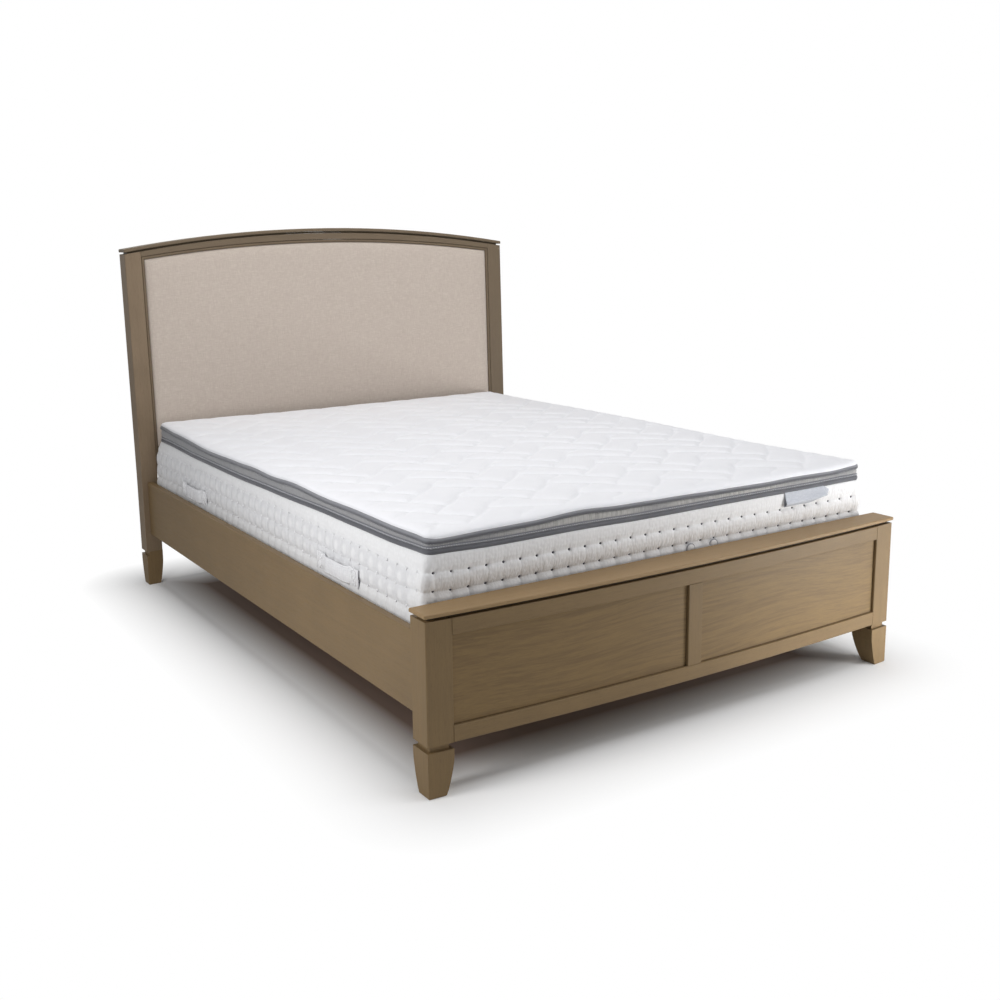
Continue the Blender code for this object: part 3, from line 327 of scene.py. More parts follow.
def plain_cloth(name, light, dark, thread, roughness=0.85, sheen=0.25, depth=0.25):
    """Close-woven cloth with fine threads in two directions."""
    made, add, place = surface(name, roughness, Sheen_Weight=sheen)
    across = add("TexNoise", add("Mapping", place, Scale=(1, 1, 0.12)), 1 / thread, 1.0)
    down = add("TexNoise", add("Mapping", place, Scale=(0.12, 0.12, 1)), 1 / thread, 1.0)
    weave = add("Mix", 0.5, across, down)
    colour = painted(add, dark, (weave, 0.38, 0.62, 1.0, light))
    return dressed(made, add, colour, (weave, depth))


# Metal and plastic

def coated_steel(name):
    """Pressed steel with a grey powder coat: even, with the fine orange peel of baked powder."""
    made, add, place = surface(name, 0.42, Metallic=0.0, Specular_IOR_Level=0.5)
    colour = painted(add, "55575A", (add("TexNoise", place, 1 / (35 * MM), 3.0), 0.35, 0.7, 1.0, "636568"))
    peel = add("TexNoise", place, 1 / (1.5 * MM), 1.0)
    return dressed(made, add, colour, (peel, 0.05))


def zinc_plate(name):
    """Zinc-plated screws: bright, slightly yellow and brushed by the driver."""
    made, add, place = surface(name, 0.32, Metallic=1.0)
    rubbed = add("TexNoise", place, 1 / (3 * MM), 2.0)
    colour = painted(add, "B8B4A6", (rubbed, 0.3, 0.7, 1.0, "D2D0C8"))
    return dressed(made, add, colour, Roughness=add("MapRange", rubbed, 0.3, 0.7, 0.25, 0.42))


def moulded_nylon(name):
    """Moulded nylon: dull, with a faint mould grain."""
    made, add, place = surface(name, 0.55)
    grain = add("TexNoise", place, 1 / (1.2 * MM), 2.0)
    colour = painted(add, "202022", (grain, 0.0, 1.0, 1.0, "2B2B2D"))
    return dressed(made, add, colour, (grain, 0.04))


# Mesh helpers

def finished(name, bm, material, body, smooth=True):
    """Makes a piece of a bmesh, with its finish, and lets it ride on a body."""
    mesh = bpy.data.meshes.new(name)
    bm.to_mesh(mesh)
    bm.free()
    mesh.polygons.foreach_set("use_smooth", [smooth] * len(mesh.polygons))
    mesh.materials.append(material)
    made = bpy.data.objects.new(name, mesh)
    bpy.context.collection.objects.link(made)
    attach(made, body)
    return made


def thicken(piece, thickness, offset=0):
    """Gives a sheet the thickness of its cloth."""
    skin = piece.modifiers.new("cloth thickness", "SOLIDIFY")
    skin.thickness = thickness
    skin.offset = offset
    return piece


def unit_grid(columns, rows):
    """A flat grid from 0 to 1 both ways, with its own UV map."""
    bm = bmesh.new()
    bm.loops.layers.uv.new("cloth")
    bmesh.ops.create_grid(bm, x_segments=columns, y_segments=rows, size=0.5, calc_uvs=True)
    bmesh.ops.translate(bm, verts=bm.verts, vec=(0.5, 0.5, 0))
    return bm


def bend_grid(columns, rows, place):
    """A grid whose vertices go where place(across, up) says, with its meeting edges joined."""
    bm = unit_grid(columns, rows)
    for vert in bm.verts:
        vert.co = place(vert.co.x, vert.co.y)
    bmesh.ops.remove_doubles(bm, verts=bm.verts, dist=WELD)
    return bm


def open_edges(bm):
    return [edge for edge in bm.edges if edge.is_boundary]


def close_and_face_out(bm):
    rims = open_edges(bm)
    if rims:
        bmesh.ops.holes_fill(bm, edges=rims)
    bmesh.ops.recalc_face_normals(bm, faces=bm.faces)
    return bm


def facing_turn(out):
    """Turns Z to point outwards."""
    return out.to_track_quat("Z", "Y").to_matrix().to_4x4()


def bead(bm, spot, turn, size):
    """A small ball of thread, drawn out to a size in mm."""
    shape = Matrix.Diagonal((*[length * MM for length in size], 1))
    bmesh.ops.create_icosphere(bm, subdivisions=1, radius=1, matrix=Matrix.Translation(spot) @ turn @ shape)


def rim(along, inset=0.0):
    """Place and outward direction at a length along the mattress's outline, from the middle of its foot end."""
    left = (along + RUNS[0] / 2) % RIM_LENGTH
    middle = Vector((0, MATTRESS_Y, 0))
    for side, (run, reach) in enumerate(zip(RUNS, REACHES)):
        turn = pi / 2 * (side - 1)
        out = Vector((cos(turn), sin(turn), 0))
        ahead = Vector((-sin(turn), cos(turn), 0))
        if left <= run:
            return middle + out * (reach - inset) + ahead * (left - run / 2), out
        left -= run
        if left <= CORNER_RUN or side == 3:
            angle = turn + left / CORNER
            facing = Vector((cos(angle), sin(angle), 0))
            heart = out * (reach - CORNER) + ahead * run / 2
            return middle + heart + facing * (CORNER - inset), facing
        left -= CORNER_RUN


def eased(share):
    share = min(1.0, max(0.0, share))
    return share * share * (3 - 2 * share)


def uneven(x, y, z):
    """A smooth irregular field, from -1 to 1."""
    return noise.noise(Vector((x, y, z)))


def rolled(share):
    """The height of a quarter of a circle, from 0 at its edge to 1."""
    return sqrt(1 - (1 - min(1, share)) ** 2)


def wave(knots, along):
    """A smooth line through (length, height) knots round the outline."""
    along = (along + HALF_RIM) % RIM_LENGTH - HALF_RIM
    for (low, start), (high, end) in zip(knots, knots[1:]):
        if along <= high:
            return start + (end - start) * eased((along - low) / (high - low))
    return knots[-1][1]


# The mattress's side, drawn in by rows of tufts

DRAW_IN = 5 * MM
DIMPLE_DEPTH = 5.5 * MM
FOOT_SLUMP = 4.5 * MM
KNOT_SIZE = (4.8, 3.8, 2.5)

# Mesh lines lie closest at the tufts: their distances from one, and the heights above and below the rows
TUFT_STOPS = ((0, 2, 4, 7, 12, 18, 25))
LOW_STOPS = (0, 3, 8, 14, 26, 42, 58)
TOP_STOPS = (0, 6, 13)

# How the edge tapes lift and sag round the mattress
LOWER_WAVES = ((-HALF_RIM, -0.003), (-2.66, -0.007), (-2.3, -0.014), (-1.95, -0.015), (-1.65, -0.010),
               (-1.25, -0.003), (-0.95, -0.001), (-0.74, 0.006), (-0.55, 0.001), (-0.30, 0.002), (-0.10, -0.001),
               (0.3, 0.000), (0.5, -0.001), (0.74, 0.001), (1.3, -0.003), (1.9, 0.002), (2.5, -0.002),
               (3.0, 0.001), (HALF_RIM, -0.003))
UPPER_WAVES = ((-HALF_RIM, 0.003), (-2.74, 0.009), (-2.55, 0.001), (-2.2, -0.011), (-1.95, -0.007),
               (-1.8, -0.003), (-1.68, -0.006), (-1.5, 0.001), (-1.3, -0.004), (-1.1, -0.001), (-0.92, -0.002),
               (-0.78, 0.001), (-0.70, -0.002), (-0.56, 0.001), (-0.46, 0.002), (-0.30, 0.009), (-0.16, 0.0035),
               (0.0, 0.002), (0.2, -0.001), (0.36, -0.003), (0.46, -0.001), (0.62, -0.003), (0.75, 0.003),
               (1.2, -0.002), (1.8, 0.003), (2.5, -0.001), (3.0, 0.002), (HALF_RIM, 0.003))

# The rows of tufts rise at the left corner and sag towards the right one
ROW_WAVES = ((-HALF_RIM, 0), (-0.86, 0), (-0.76, 0.007), (-0.66, 0.001), (-0.5, 0), (0.15, 0), (0.45, -0.0035),
             (0.74, -0.0045), (0.9, 0), (HALF_RIM, 0))


def row_lift(along, height):
    """How far the wave of the rows lifts the side at a height."""
    return wave(ROW_WAVES, along) * eased((SIDE_TOP - height) / (45 * MM)) * eased((height - 0.40) / (40 * MM))


def side_swell(height):
    """How far the mattress's long sides stand out past the tapes at a height."""
    fall = max(0, height - SWELL_HEIGHT) / (SIDE_TOP - SWELL_HEIGHT)
    sag = LOW_SAG * exp(-((height - SAG_HEIGHT) / (16 * MM)) ** 2)
    return SIDE_SWELL * (1 - min(1, fall) ** 2) + sag


def side_point(along, height, inset):
    """A place on the mattress's side at a depth under its outline, and the direction in which it faces."""
    spot, out = rim(along, inset)
    spot.x += out.x * side_swell(height)
    # The padding fills the corners out, and the sides near the head
    low = eased((SIDE_TOP - height) / (60 * MM))
    spot += out * low * HEAD_SWELL * eased((spot.y - 0.72) / 0.26) * abs(out.x)
    spot += out * low * CORNER_FILL * 2 * abs(out.x * out.y)
    spot.z = height
    return spot, out


def tuft_dimple(along, height, foot):
    """How far the nearest tufts pull the cloth in, with the little folds that run from each. The foot end's are
    sharpest."""
    column = round((along - TUFT_OFFSET) / TUFT_PITCH)
    across = along - TUFT_OFFSET - column * TUFT_PITCH
    pull = 0.0
    for number, row in enumerate(TUFT_ROWS):
        rise = height - row
        far = sqrt(across * across + rise * rise)
        if far < 24 * MM:
            fold = 0.7 * MM * cos(6 * atan2(rise, across) + (column % TUFT_COUNT) * 1.7 + number * 2.3)
            pull += (0.18 + 0.54 * foot) * DIMPLE_DEPTH * exp(-(far / (3.6 * MM)) ** 2)
            pull += 0.28 * DIMPLE_DEPTH * exp(-(far / (9 * MM)) ** 2)
            pull += fold * exp(-(far / (13 * MM)) ** 2) * min(1, far / (4 * MM))
    return pull


def side_puff(along, height, foot):
    """The padding's swell between the tufts, from 0 at a tuft to 1. At the foot end its columns run together."""
    across = abs(sin(pi * (along - TUFT_OFFSET) / TUFT_PITCH)) ** 0.8
    if height > TUFT_ROWS[1]:
        across += 0.9 * foot * (1 - across)
    if height > TUFT_ROWS[-1]:
        return eased((height - TUFT_ROWS[-1]) / (26 * MM)) * (0.85 + 0.15 * across)
    if height < TUFT_ROWS[0]:
        up = sin(pi / 2 * min(1, (TUFT_ROWS[0] - height) / (23 * MM))) ** 0.7
    else:
        up = abs(sin(pi * (height - TUFT_ROWS[0]) / ROW_PITCH)) ** 0.7
    return 0.35 * up + 0.15 * across + 0.5 * up * across


def slump(height):
    """The foot side leans in down to its middle row of tufts, and bulges out again below it."""
    _, middle, upper = TUFT_ROWS
    if height > middle:
        return 1 - eased((height - middle) / (upper - middle))
    return 1 - eased((middle - height) / (15 * MM))


def mattress_side(material):
    # The stops span half a pitch on either side of each tuft
    stops = [stop / TUFT_STOPS[-1] * TUFT_PITCH / 2 for stop in TUFT_STOPS]
    lengths = [TUFT_OFFSET]
    for tuft in range(TUFT_COUNT):
        start = TUFT_OFFSET + tuft * TUFT_PITCH
        lengths += [start + stop for stop in stops[1:]]
        lengths += [start + TUFT_PITCH - stop for stop in stops[-2::-1]]
    heights = {round(SIDE_BOTTOM + stop * MM, 6) for stop in LOW_STOPS} | {SIDE_TOP - stop * MM for stop in TOP_STOPS}
    for row in TUFT_ROWS:
        heights |= {round(row + side * stop * MM, 6) for stop in TUFT_STOPS if stop < 22 for side in (-1, 1)}
    heights = sorted(heights)

    def place(across, up):
        along = lengths[round(across * (len(lengths) - 1))]
        height = heights[round(up * (len(heights) - 1))]
        spot, out = rim(along)
        drift = uneven(spot.x * 3.1, spot.y * 3.1, height * 9) * 1.4 * MM
        crease = uneven(spot.x * 45, spot.y * 45, height * 14) * 0.7 * MM
        foot = max(0, -out.y)
        inset = DRAW_IN * (1 - side_puff(along, height, foot)) + tuft_dimple(along, height, foot)
        inset += 0.8 * MM - drift - crease
        # The lower edge rolls under
        inset += 12 * MM * (1 - eased((height - SIDE_BOTTOM) / (14 * MM))) ** 2
        inset += FOOT_SLUMP * foot * slump(height)
        # Under the middle row the foot end bulges out in lobes of uneven depth
        between = abs(cos(pi * (along - TUFT_OFFSET) / TUFT_PITCH)) ** 4
        lobe = 1.5 * MM + 3.5 * MM * uneven(spot.x * 17, spot.y * 17, 3)
        inset += foot * lobe * between * eased((TUFT_ROWS[1] - height) / (9 * MM))
        if height == SIDE_TOP:
            inset += 8 * MM
        spot, _ = side_point(along, height, max(0.2 * MM, inset))
        spot.z += wave(LOWER_WAVES, along) * eased((height - TUFT_ROWS[-1]) / (SIDE_TOP - TUFT_ROWS[-1]))
        spot.z += row_lift(along, height)
        return spot

    bm = close_and_face_out(bend_grid(len(lengths) - 1, len(heights) - 1, place))
    made = finished("mattress_tufted_side", bm, material, "mattress")
    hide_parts("mattress_core")


def mattress_tufts(name, material, at_foot):
    """The knot of thread at each tuft, deep in its dimple: dark grey at the foot end, partly thread and partly painted
    shade of the tuft's hollow, and white down the sides.
    """
    bm = bmesh.new()
    for row in TUFT_ROWS:
        for column in range(TUFT_COUNT):
            along = TUFT_OFFSET + column * TUFT_PITCH
            place, out = rim(along)
            if (place.y < FOOT_END_Y) != at_foot:
                continue
            foot = max(0, -out.y)
            depth = DRAW_IN + DIMPLE_DEPTH * (0.46 + 0.54 * foot) + FOOT_SLUMP * foot * slump(row) - 1.6 * MM
            spot, _ = side_point(along, row, depth)
            spot.z += row_lift(along, row)
            bead(bm, spot, facing_turn(out), KNOT_SIZE)
    finished(name, bm, material, "mattress")


# Tapes: sections as (outset, height) pairs in mm, from the bottom of the outer face to its top

LOWER_SECTION = ((-5.0, 0.0), (-1.8, 0.3), (-0.2, 2.0), (0.6, 4.5), (0.8, 7.5), (0.3, 10.0), (-0.9, 12.0),
                 (-2.3, 12.8), (-2.5, 13.5), (-1.3, 14.3), (-0.5, 15.6), (-0.4, 16.8), (-1.3, 18.6),
                 (-3.0, 20.0), (-5.4, 20.9), (-7.5, 21.0))
UPPER_SECTION = ((-6.0, 0.0), (-2.6, 0.4), (-0.9, 1.9), (0.1, 4.2), (0.6, 7.0), (0.3, 10.0), (-0.9, 12.8),
                 (-2.8, 15.0), (-5.2, 16.5), (-8.0, 17.0))


def edge_tape(name, section, bottom, waves, cad_node, material):
    """A ribbon sewn round the edge, swept along the outline on its wave."""
    face = [(outset * MM, height * MM) for outset, height in section]
    ring = [*face, (-TAPE_DEPTH, face[-1][1]), (-TAPE_DEPTH, 0.0), face[0]]
    rows = len(ring) - 1

    def place(across, up):
        along = across * RIM_LENGTH
        outset, height = ring[round(up * rows)]
        spot, _ = rim(along, -outset)
        spot.z = bottom + height + wave(waves, along)
        return spot

    bm = bend_grid(1100, rows, place)
    made = finished(name, close_and_face_out(bm), material, "mattress")
    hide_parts(cad_node)


PLEATS = 990
BAND_LAP = 2 * MM
STITCH_PITCH = 7 * MM
STITCH_SIZE = (1.0, 3.3, 0.8)


def edge_band(material):
    """The gathered band between the two tapes."""
    def place(across, up):
        along = across * RIM_LENGTH
        low = LOWER_TAPE[1] + wave(LOWER_WAVES, along) - BAND_LAP
        high = UPPER_TAPE[0] + wave(UPPER_WAVES, along) + BAND_LAP
        spot, _ = rim(along)
        lag = 2.5 * uneven(spot.x * 9, spot.y * 9, 5)
        pleat = 0.5 * MM * sin(2 * pi * PLEATS * along / RIM_LENGTH + lag)
        belly = sin(pi * up)
        spot, _ = rim(along, 5.0 * MM - 2.2 * MM * belly + pleat * belly)
        spot.z = low + (high - low) * up
        return spot

    bm = bend_grid(3900, 5, place)
    thicken(finished("mattress_edge_band", bm, material, "mattress"), 0.8 * MM, offset=-1)


def tape_stitches(material):
    """Silky stitches along the tapes' grooves."""
    bm = bmesh.new()
    rows = ((LOWER_TAPE[0] + 17.2 * MM, LOWER_WAVES, 0.7), (UPPER_TAPE[0] + 2.2 * MM, UPPER_WAVES, 1.6))
    for height, waves, sink in rows:
        for step in range(round(RIM_LENGTH / STITCH_PITCH)):
            along = step * STITCH_PITCH
            spot, out = rim(along, sink * MM)
            spot.z = height + wave(waves, along)
            ahead = Vector((-out.y, out.x, 0))
            turn = Matrix((Vector((0, 0, 1)), ahead, out)).transposed().to_4x4()
            bead(bm, spot, turn, STITCH_SIZE)
    finished("mattress_tape_stitches", bm, material, "mattress")


# The quilted top

QUILT_ACROSS = 0.290
QUILT_ALONG = 0.146
QUILT_ORIGIN = -1.07675
TOP_EDGE = UPPER_TAPE[1]
TOP_RISE = 12 * MM
TOP_ROLL = 40 * MM
TOP_INSET = 2 * MM
TOP_TUCK = 6 * MM
QUILT_DEPTH = 8 * MM
STITCH_REACH = 34 * MM

# One repeat of the stitched figure, in mm across and towards the foot: a long rising stroke over a crest,
# the short stroke that falls from it, and the arc that runs from the rising stroke to the crest below
QUILT_STROKES = (
    ((-43, 190), (0, 147), (53, 107), (93, 70), (133, 23), (173, 3), (207, -20)),
    ((207, -20), (233, 7), (253, 40), (280, 72), (300, 93), (313, 120)),
    ((93, 70), (110, 64), (127, 70), (160, 90), (200, 120), (207, 126)),
)


def smooth_path(points, step):
    """Points at even steps on a smooth curve through the given ones."""
    path = []
    ends = [points[0], *points, points[-1]]
    for before, start, end, after in zip(ends, ends[1:], ends[2:], ends[3:]):
        count = max(2, ceil((Vector(end) - Vector(start)).length / step))
        for part in range(count):
            t = part / count
            path.append(tuple(0.5 * (2 * s + (e - b) * t + (2 * b - 5 * s + 4 * e - a) * t * t
                                     + (3 * s - b - 3 * e + a) * t ** 3)
                              for b, s, e, a in zip(before, start, end, after)))
    return path + [tuple(points[-1])]


def quilt_tree():
    """All stitch points of the quilted top, for finding how far a place is from its nearest stitch."""
    spots = []
    margin = 0.3
    for stroke in QUILT_STROKES:
        for a, b in smooth_path(stroke, 2.0):
            for column in range(-5, 5):
                x = column * QUILT_ACROSS + a * MM
                if abs(x) > HALF_WIDTH + margin:
                    continue
                for row in range(-2, 18):
                    y = QUILT_ORIGIN + row * QUILT_ALONG - b * MM
                    if abs(y) < HALF_LENGTH + margin:
                        spots.append((x, y, 0))
    tree = KDTree(len(spots))
    for number, spot in enumerate(spots):
        tree.insert(spot, number)
    tree.balance()
    return tree


def round_corner(x, y):
    """Moves a place of the plain rectangle onto the one with rounded corners."""
    p, q = (abs(x) - HEART_X) / CORNER, (abs(y) - HEART_Y) / CORNER
    if p <= 0 or q <= 0:
        return x, y
    across, along = p * sqrt(1 - q * q / 2), q * sqrt(1 - p * p / 2)
    return copysign(HEART_X + across * CORNER, x), copysign(HEART_Y + along * CORNER, y)


def edge_distance(x, y):
    """How far inside the rounded outline a place is."""
    p, q = abs(x) - HEART_X, abs(y) - HEART_Y
    if p > 0 and q > 0:
        return CORNER - sqrt(p * p + q * q)
    return min(HALF_WIDTH - abs(x), HALF_LENGTH - abs(y))


def outline_length(x, y):
    """The length along the outline that is nearest to a place."""
    p, q = abs(x) - HEART_X, abs(y) - HEART_Y
    length = HEART_X + CORNER_RUN
    if p > 0 and q > 0:
        quarter = atan2(q, p) * CORNER
        length += -quarter if y < 0 else RUNS[1] + quarter
    elif HALF_LENGTH - abs(y) < HALF_WIDTH - abs(x):
        return x if y < 0 else (HALF_RIM - x if x > 0 else -HALF_RIM - x)
    else:
        length += y + HEART_Y
    return length if x > 0 else -length


def quilted_top(material):
    tree = quilt_tree()
    bm = unit_grid(272, 364)
    for vert in bm.verts:
        x, y = round_corner((vert.co.x * 2 - 1) * HALF_WIDTH, (vert.co.y * 2 - 1) * HALF_LENGTH)
        inside = max(0.0, edge_distance(x, y))
        puff = rolled(tree.find((x, y + MATTRESS_Y, 0))[2] / STITCH_REACH)
        drift = uneven(x * 2.2, y * 2.2, 7.0) * 1.5 * MM
        crease = uneven(x * 34, y * 34, 1.0) * 0.35 * MM * puff
        depth = QUILT_DEPTH * (0.35 + 0.65 * eased(inside / (90 * MM)))
        lift = wave(UPPER_WAVES, outline_length(x, y)) * (1 - eased(inside / 0.16))
        z = TOP_EDGE + lift + rolled(inside / TOP_ROLL) * (TOP_RISE - depth * (1 - puff) + drift) + crease
        vert.co = (x * (1 - TOP_INSET / HALF_WIDTH), y * (1 - TOP_INSET / HALF_LENGTH) + MATTRESS_Y, z)
    # Its rim is tucked in behind the upper tape
    for vert in bmesh.ops.extrude_edge_only(bm, edges=open_edges(bm))["geom"]:
        if isinstance(vert, bmesh.types.BMVert):
            vert.co.z -= TOP_TUCK
            vert.co.x *= 1 - TOP_TUCK / HALF_WIDTH
    bmesh.ops.remove_doubles(bm, verts=bm.verts, dist=WELD)
    top = finished("mattress_quilted_top", close_and_face_out(bm), material, "mattress")
    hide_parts("mattress_pillow_top")


# Handles, label and vents

HANDLE_LENGTH = 0.250
HANDLE_HEIGHT = 0.050
STRAP = 1.8 * MM


def strap_handle(word, end, band, thread):
    """A cloth strap with a smooth middle that stands off, and its ends worked over with scrolls of thread."""
    node = f"mattress_{word}_{end}_handle"
    low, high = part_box(node)
    side = -1 if word == "left" else 1
    wall = min(abs(low.x), abs(high.x))
    middle_y, middle_z = (low.y + high.y) / 2, (low.z + high.z) / 2

    def face(along, up, outset):
        span = abs(along) / (HANDLE_LENGTH / 2)
        stand_off = 7 * MM * eased((0.64 - span) / 0.22)
        pucker = 0.6 * MM * sin(along * 2 * pi / (38 * MM)) * eased((0.64 - span) / 0.3)
        edge = 1.2 * MM * (abs(up) / (HANDLE_HEIGHT / 2)) ** 6
        x = wall + stand_off + pucker + STRAP - edge + outset
        return Vector((side * x, middle_y + along, middle_z + up))

    def place(across, up):
        waist = 1 - 0.10 * eased((0.62 - abs(2 * across - 1)) / 0.2)
        return face((across - 0.5) * HANDLE_LENGTH, (up - 0.5) * HANDLE_HEIGHT * waist, 0)

    bm = bend_grid(64, 12, place)
    bmesh.ops.recalc_face_normals(bm, faces=bm.faces)
    strap = thicken(finished(f"mattress_{word}_{end}_strap", bm, band, "mattress"), STRAP)
    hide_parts(node)
    paths = []
    for direction in (-1, 1):
        # Two wide scrolls that lean either way, and a double one between them
        for turns, start, reach in ((1, 0.5, 21 * MM), (1, 2.2, 21 * MM), (2, 0.5, 15 * MM)):
            points = []
            for step in range(49):
                t = 2 * pi * step / 48
                out = 0.40 * HANDLE_LENGTH + 15 * MM * sin(turns * t + start) * (0.55 + 0.45 * cos(t) ** 2)
                points.append(face(direction * out, reach * sin(t), 1.4 * MM))
            paths.append(points)
    # Seams along both edges, at each end and right through
    seams = [(direction * 0.31 * HANDLE_LENGTH, direction * 1.25 * MM, 24 * MM, 36) for direction in (-1, 1)]
    for start, pitch, reach, count in (*seams, (-75 * MM, 5 * MM, 20 * MM, 31)):
        for edge in (-1, 1):
            paths.append([face(start + step * pitch, edge * reach, 1.0 * MM) for step in range(count)])
    stitched_cords(f"mattress_{word}_{end}_embroidery", paths, 1.1 * MM, thread)


def stitched_cords(name, paths, radius, material):
    """Raised cords of thread along paths, as one mesh."""
    data = bpy.data.curves.new(name, "CURVE")
    data.dimensions = "3D"
    data.bevel_depth = radius
    data.bevel_resolution = 1
    for points in paths:
        spline = data.splines.new("POLY")
        spline.points.add(len(points) - 1)
        for point, spot in zip(spline.points, points):
            point.co = (*spot, 1)
    drawn = bpy.data.objects.new(name, data)
    bpy.context.collection.objects.link(drawn)
    bm = bmesh.new()
    bm.from_mesh(drawn.to_mesh())
    drawn.to_mesh_clear()
    bpy.data.objects.remove(drawn)
    bpy.data.curves.remove(data)
    finished(name, close_and_face_out(bm), material, "mattress")


LABEL_HINGE = Vector((0.510, -0.99725, 0.563))
LABEL_WIDTH = 0.160
LABEL_DROP = 36

# The label's loop of cloth from its front top edge round to its back one, as (stand-off, drop) in mm
LABEL_LOOP = ((1.2, 0.0), (1.9, 3.5), (3.0, 8.0), (4.4, 13.0), (6.0, 18.0), (7.8, 23.0), (9.0, 26.5), (9.5, 28.5),
              (9.0, 30.5), (7.0, 32.8), (4.6, 35.0), (3.0, 36.4), (1.9, 36.6), (1.2, 34.0), (0.9, 26.0),
              (0.8, 14.0), (0.8, 0.0))


def cloth_label(material):
    """The bare grey label: a strip folded double and sewn in under the tape, its right end curling off the side."""
    def place(across, round_loop):
        stand, drop = LABEL_LOOP[round(round_loop * (len(LABEL_LOOP) - 1))]
        hang = drop / LABEL_DROP
        peel = eased((across - 0.60) / 0.40)
        front = min(1, stand / 6)
        # The loop's back layer slips out past its right end in a round lobe
        lobe = sin(pi * min(1, hang)) if round_loop > 0.7 else 0
        x = (across - 0.5) * LABEL_WIDTH + peel * (8 * MM * hang * front + 24 * MM * lobe)
        ripple = 1.2 * MM * sin(across * 9.0 + 0.8) * hang * front
        out = stand * MM * (1 + 0.5 * peel * front) + ripple + 3 * MM * peel * lobe
        return LABEL_HINGE + Vector((x, -out, -drop * MM * (1.16 - 0.28 * peel) - 0.2 * MM))

    bm = bend_grid(40, len(LABEL_LOOP) - 1, place)
    bmesh.ops.recalc_face_normals(bm, faces=bm.faces)
    label = thicken(finished("mattress_cloth_label", bm, material, "label"), 0.7 * MM)
    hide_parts("mattress_label")


VENT_HEIGHT = 0.453
VENT_RADIUS = 14 * MM
VENT_PLACES = (0.077, 0.161)


def side_vents(ring_material, mesh_material):
    """Two small round vents low on the foot side."""
    rings = bmesh.new()
    domes = bmesh.new()
    for along in VENT_PLACES:
        spot, out = side_point(along, VENT_HEIGHT, 3.0 * MM)
        base = Matrix.Translation(spot) @ facing_turn(out)
        section_place = Matrix.Translation((VENT_RADIUS, 0, 0)) @ Matrix.Rotation(pi / 2, 4, "X")
        section = bmesh.ops.create_circle(rings, segments=8, radius=2.2 * MM, matrix=base @ section_place)["verts"]
        edges = list({edge for vert in section for edge in vert.link_edges})
        bmesh.ops.spin(rings, geom=section + edges, cent=spot, axis=out, angle=2 * pi, steps=24, use_merge=True)
        bmesh.ops.create_uvsphere(domes, u_segments=20, v_segments=10, radius=1,
                                  matrix=base @ Matrix.Diagonal((VENT_RADIUS, VENT_RADIUS, 5 * MM, 1)))
    bmesh.ops.remove_doubles(rings, verts=rings.verts, dist=WELD)
    bmesh.ops.recalc_face_normals(rings, faces=rings.faces)
    finished("mattress_vent_rings", rings, ring_material, "mattress")
    finished("mattress_vent_mesh", domes, mesh_material, "mattress")


# The headboard's upholstery

HEAD_FACE_Y = 1.00925
HALF_HEAD = 0.825
HEAD_INNER = 0.763
HEAD_BOW = 0.026
RAKE_START = 0.400
RAKE_SLOPE = 0.025 / 0.850
PAD_MARGIN = 11.9 * MM
PAD_HALF = HEAD_INNER - PAD_MARGIN
PAD_BACK = 12 * MM
PAD_BOTTOM = 0.5319
PAD_SIDE_TOP = 1.240
PAD_RISE = 0.051
PAD_ROLL = 42 * MM


def head_surface(x, z):
    """Where the headboard's front face is, bowed in plan and raked."""
    return HEAD_FACE_Y + HEAD_BOW * (1 - (x / HALF_HEAD) ** 2) + max(0, z - RAKE_START) * RAKE_SLOPE


def opening_top(x):
    """How high the arched opening of the headboard is."""
    return PAD_SIDE_TOP + PAD_RISE * (1 - (x / HEAD_INNER) ** 2)


def headboard_upholstery(material):
    columns, rows = ((300, 150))
    back_rows = 8

    def place(across, up):
        # Up the front, down the back, and one step forward again to where it began
        step = round(up * (rows + back_rows + 2))
        behind = step > rows
        share = 1 - (step - rows - 1) / back_rows if behind else step / rows
        if share < 0:
            behind, share = False, 0
        x = (2 * across - 1) * PAD_HALF
        top = opening_top(x) - PAD_MARGIN
        z = PAD_BOTTOM + (top - PAD_BOTTOM) * share
        if behind:
            return Vector((x, head_surface(x, z) + PAD_BACK, z))
        from_side, from_end = PAD_HALF - abs(x), min(z - PAD_BOTTOM, top - z)
        near = min(from_side, from_end)
        swell = rolled(from_side / PAD_ROLL) * rolled(from_end / PAD_ROLL)
        tension = uneven(x * 24, z * 24, 4) * 0.8 * MM * eased(near / (10 * MM)) * exp(-near / (45 * MM))
        drift = uneven(x * 3, z * 3, 9) * 0.9 * MM * eased(near / (60 * MM))
        y = head_surface(x, z) + 7 * MM - 13 * MM * swell - tension - drift
        return Vector((x, y, z))

    bm = close_and_face_out(bend_grid(columns, rows + back_rows + 2, place))
    pad = finished("headboard_upholstery", bm, material, "bed_frame")
    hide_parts("headboard_pad")


# Screws

SLATS = [f"slat_{number:02d}" for number in range(1, 13)]
BRACKET_STEEL = 3 * MM
BRACKET_REACH = 57 * MM
BRACKET_SCREW = 4.5 * MM
BACK_FACE = 40.9 * MM


def screw_head(bm, spot, out, radius):
    """A pan head with a hexagon socket."""
    out = Vector(out)
    base = Matrix.Translation(spot) @ facing_turn(out)
    height = radius * 0.55
    made = bmesh.ops.create_cone(bm, cap_ends=True, segments=12, radius1=radius, radius2=radius * 0.8,
                                 depth=height, matrix=base @ Matrix.Translation((0, 0, height / 2)))
    faces = {face for vert in made["verts"] for face in vert.link_faces}
    for face in faces:
        face.normal_update()
    top = max(faces, key=lambda face: face.calc_center_median().dot(out))
    bmesh.ops.inset_region(bm, faces=[top], thickness=radius * 0.38)
    bmesh.ops.translate(bm, verts=top.verts, vec=-out * height * 0.6)


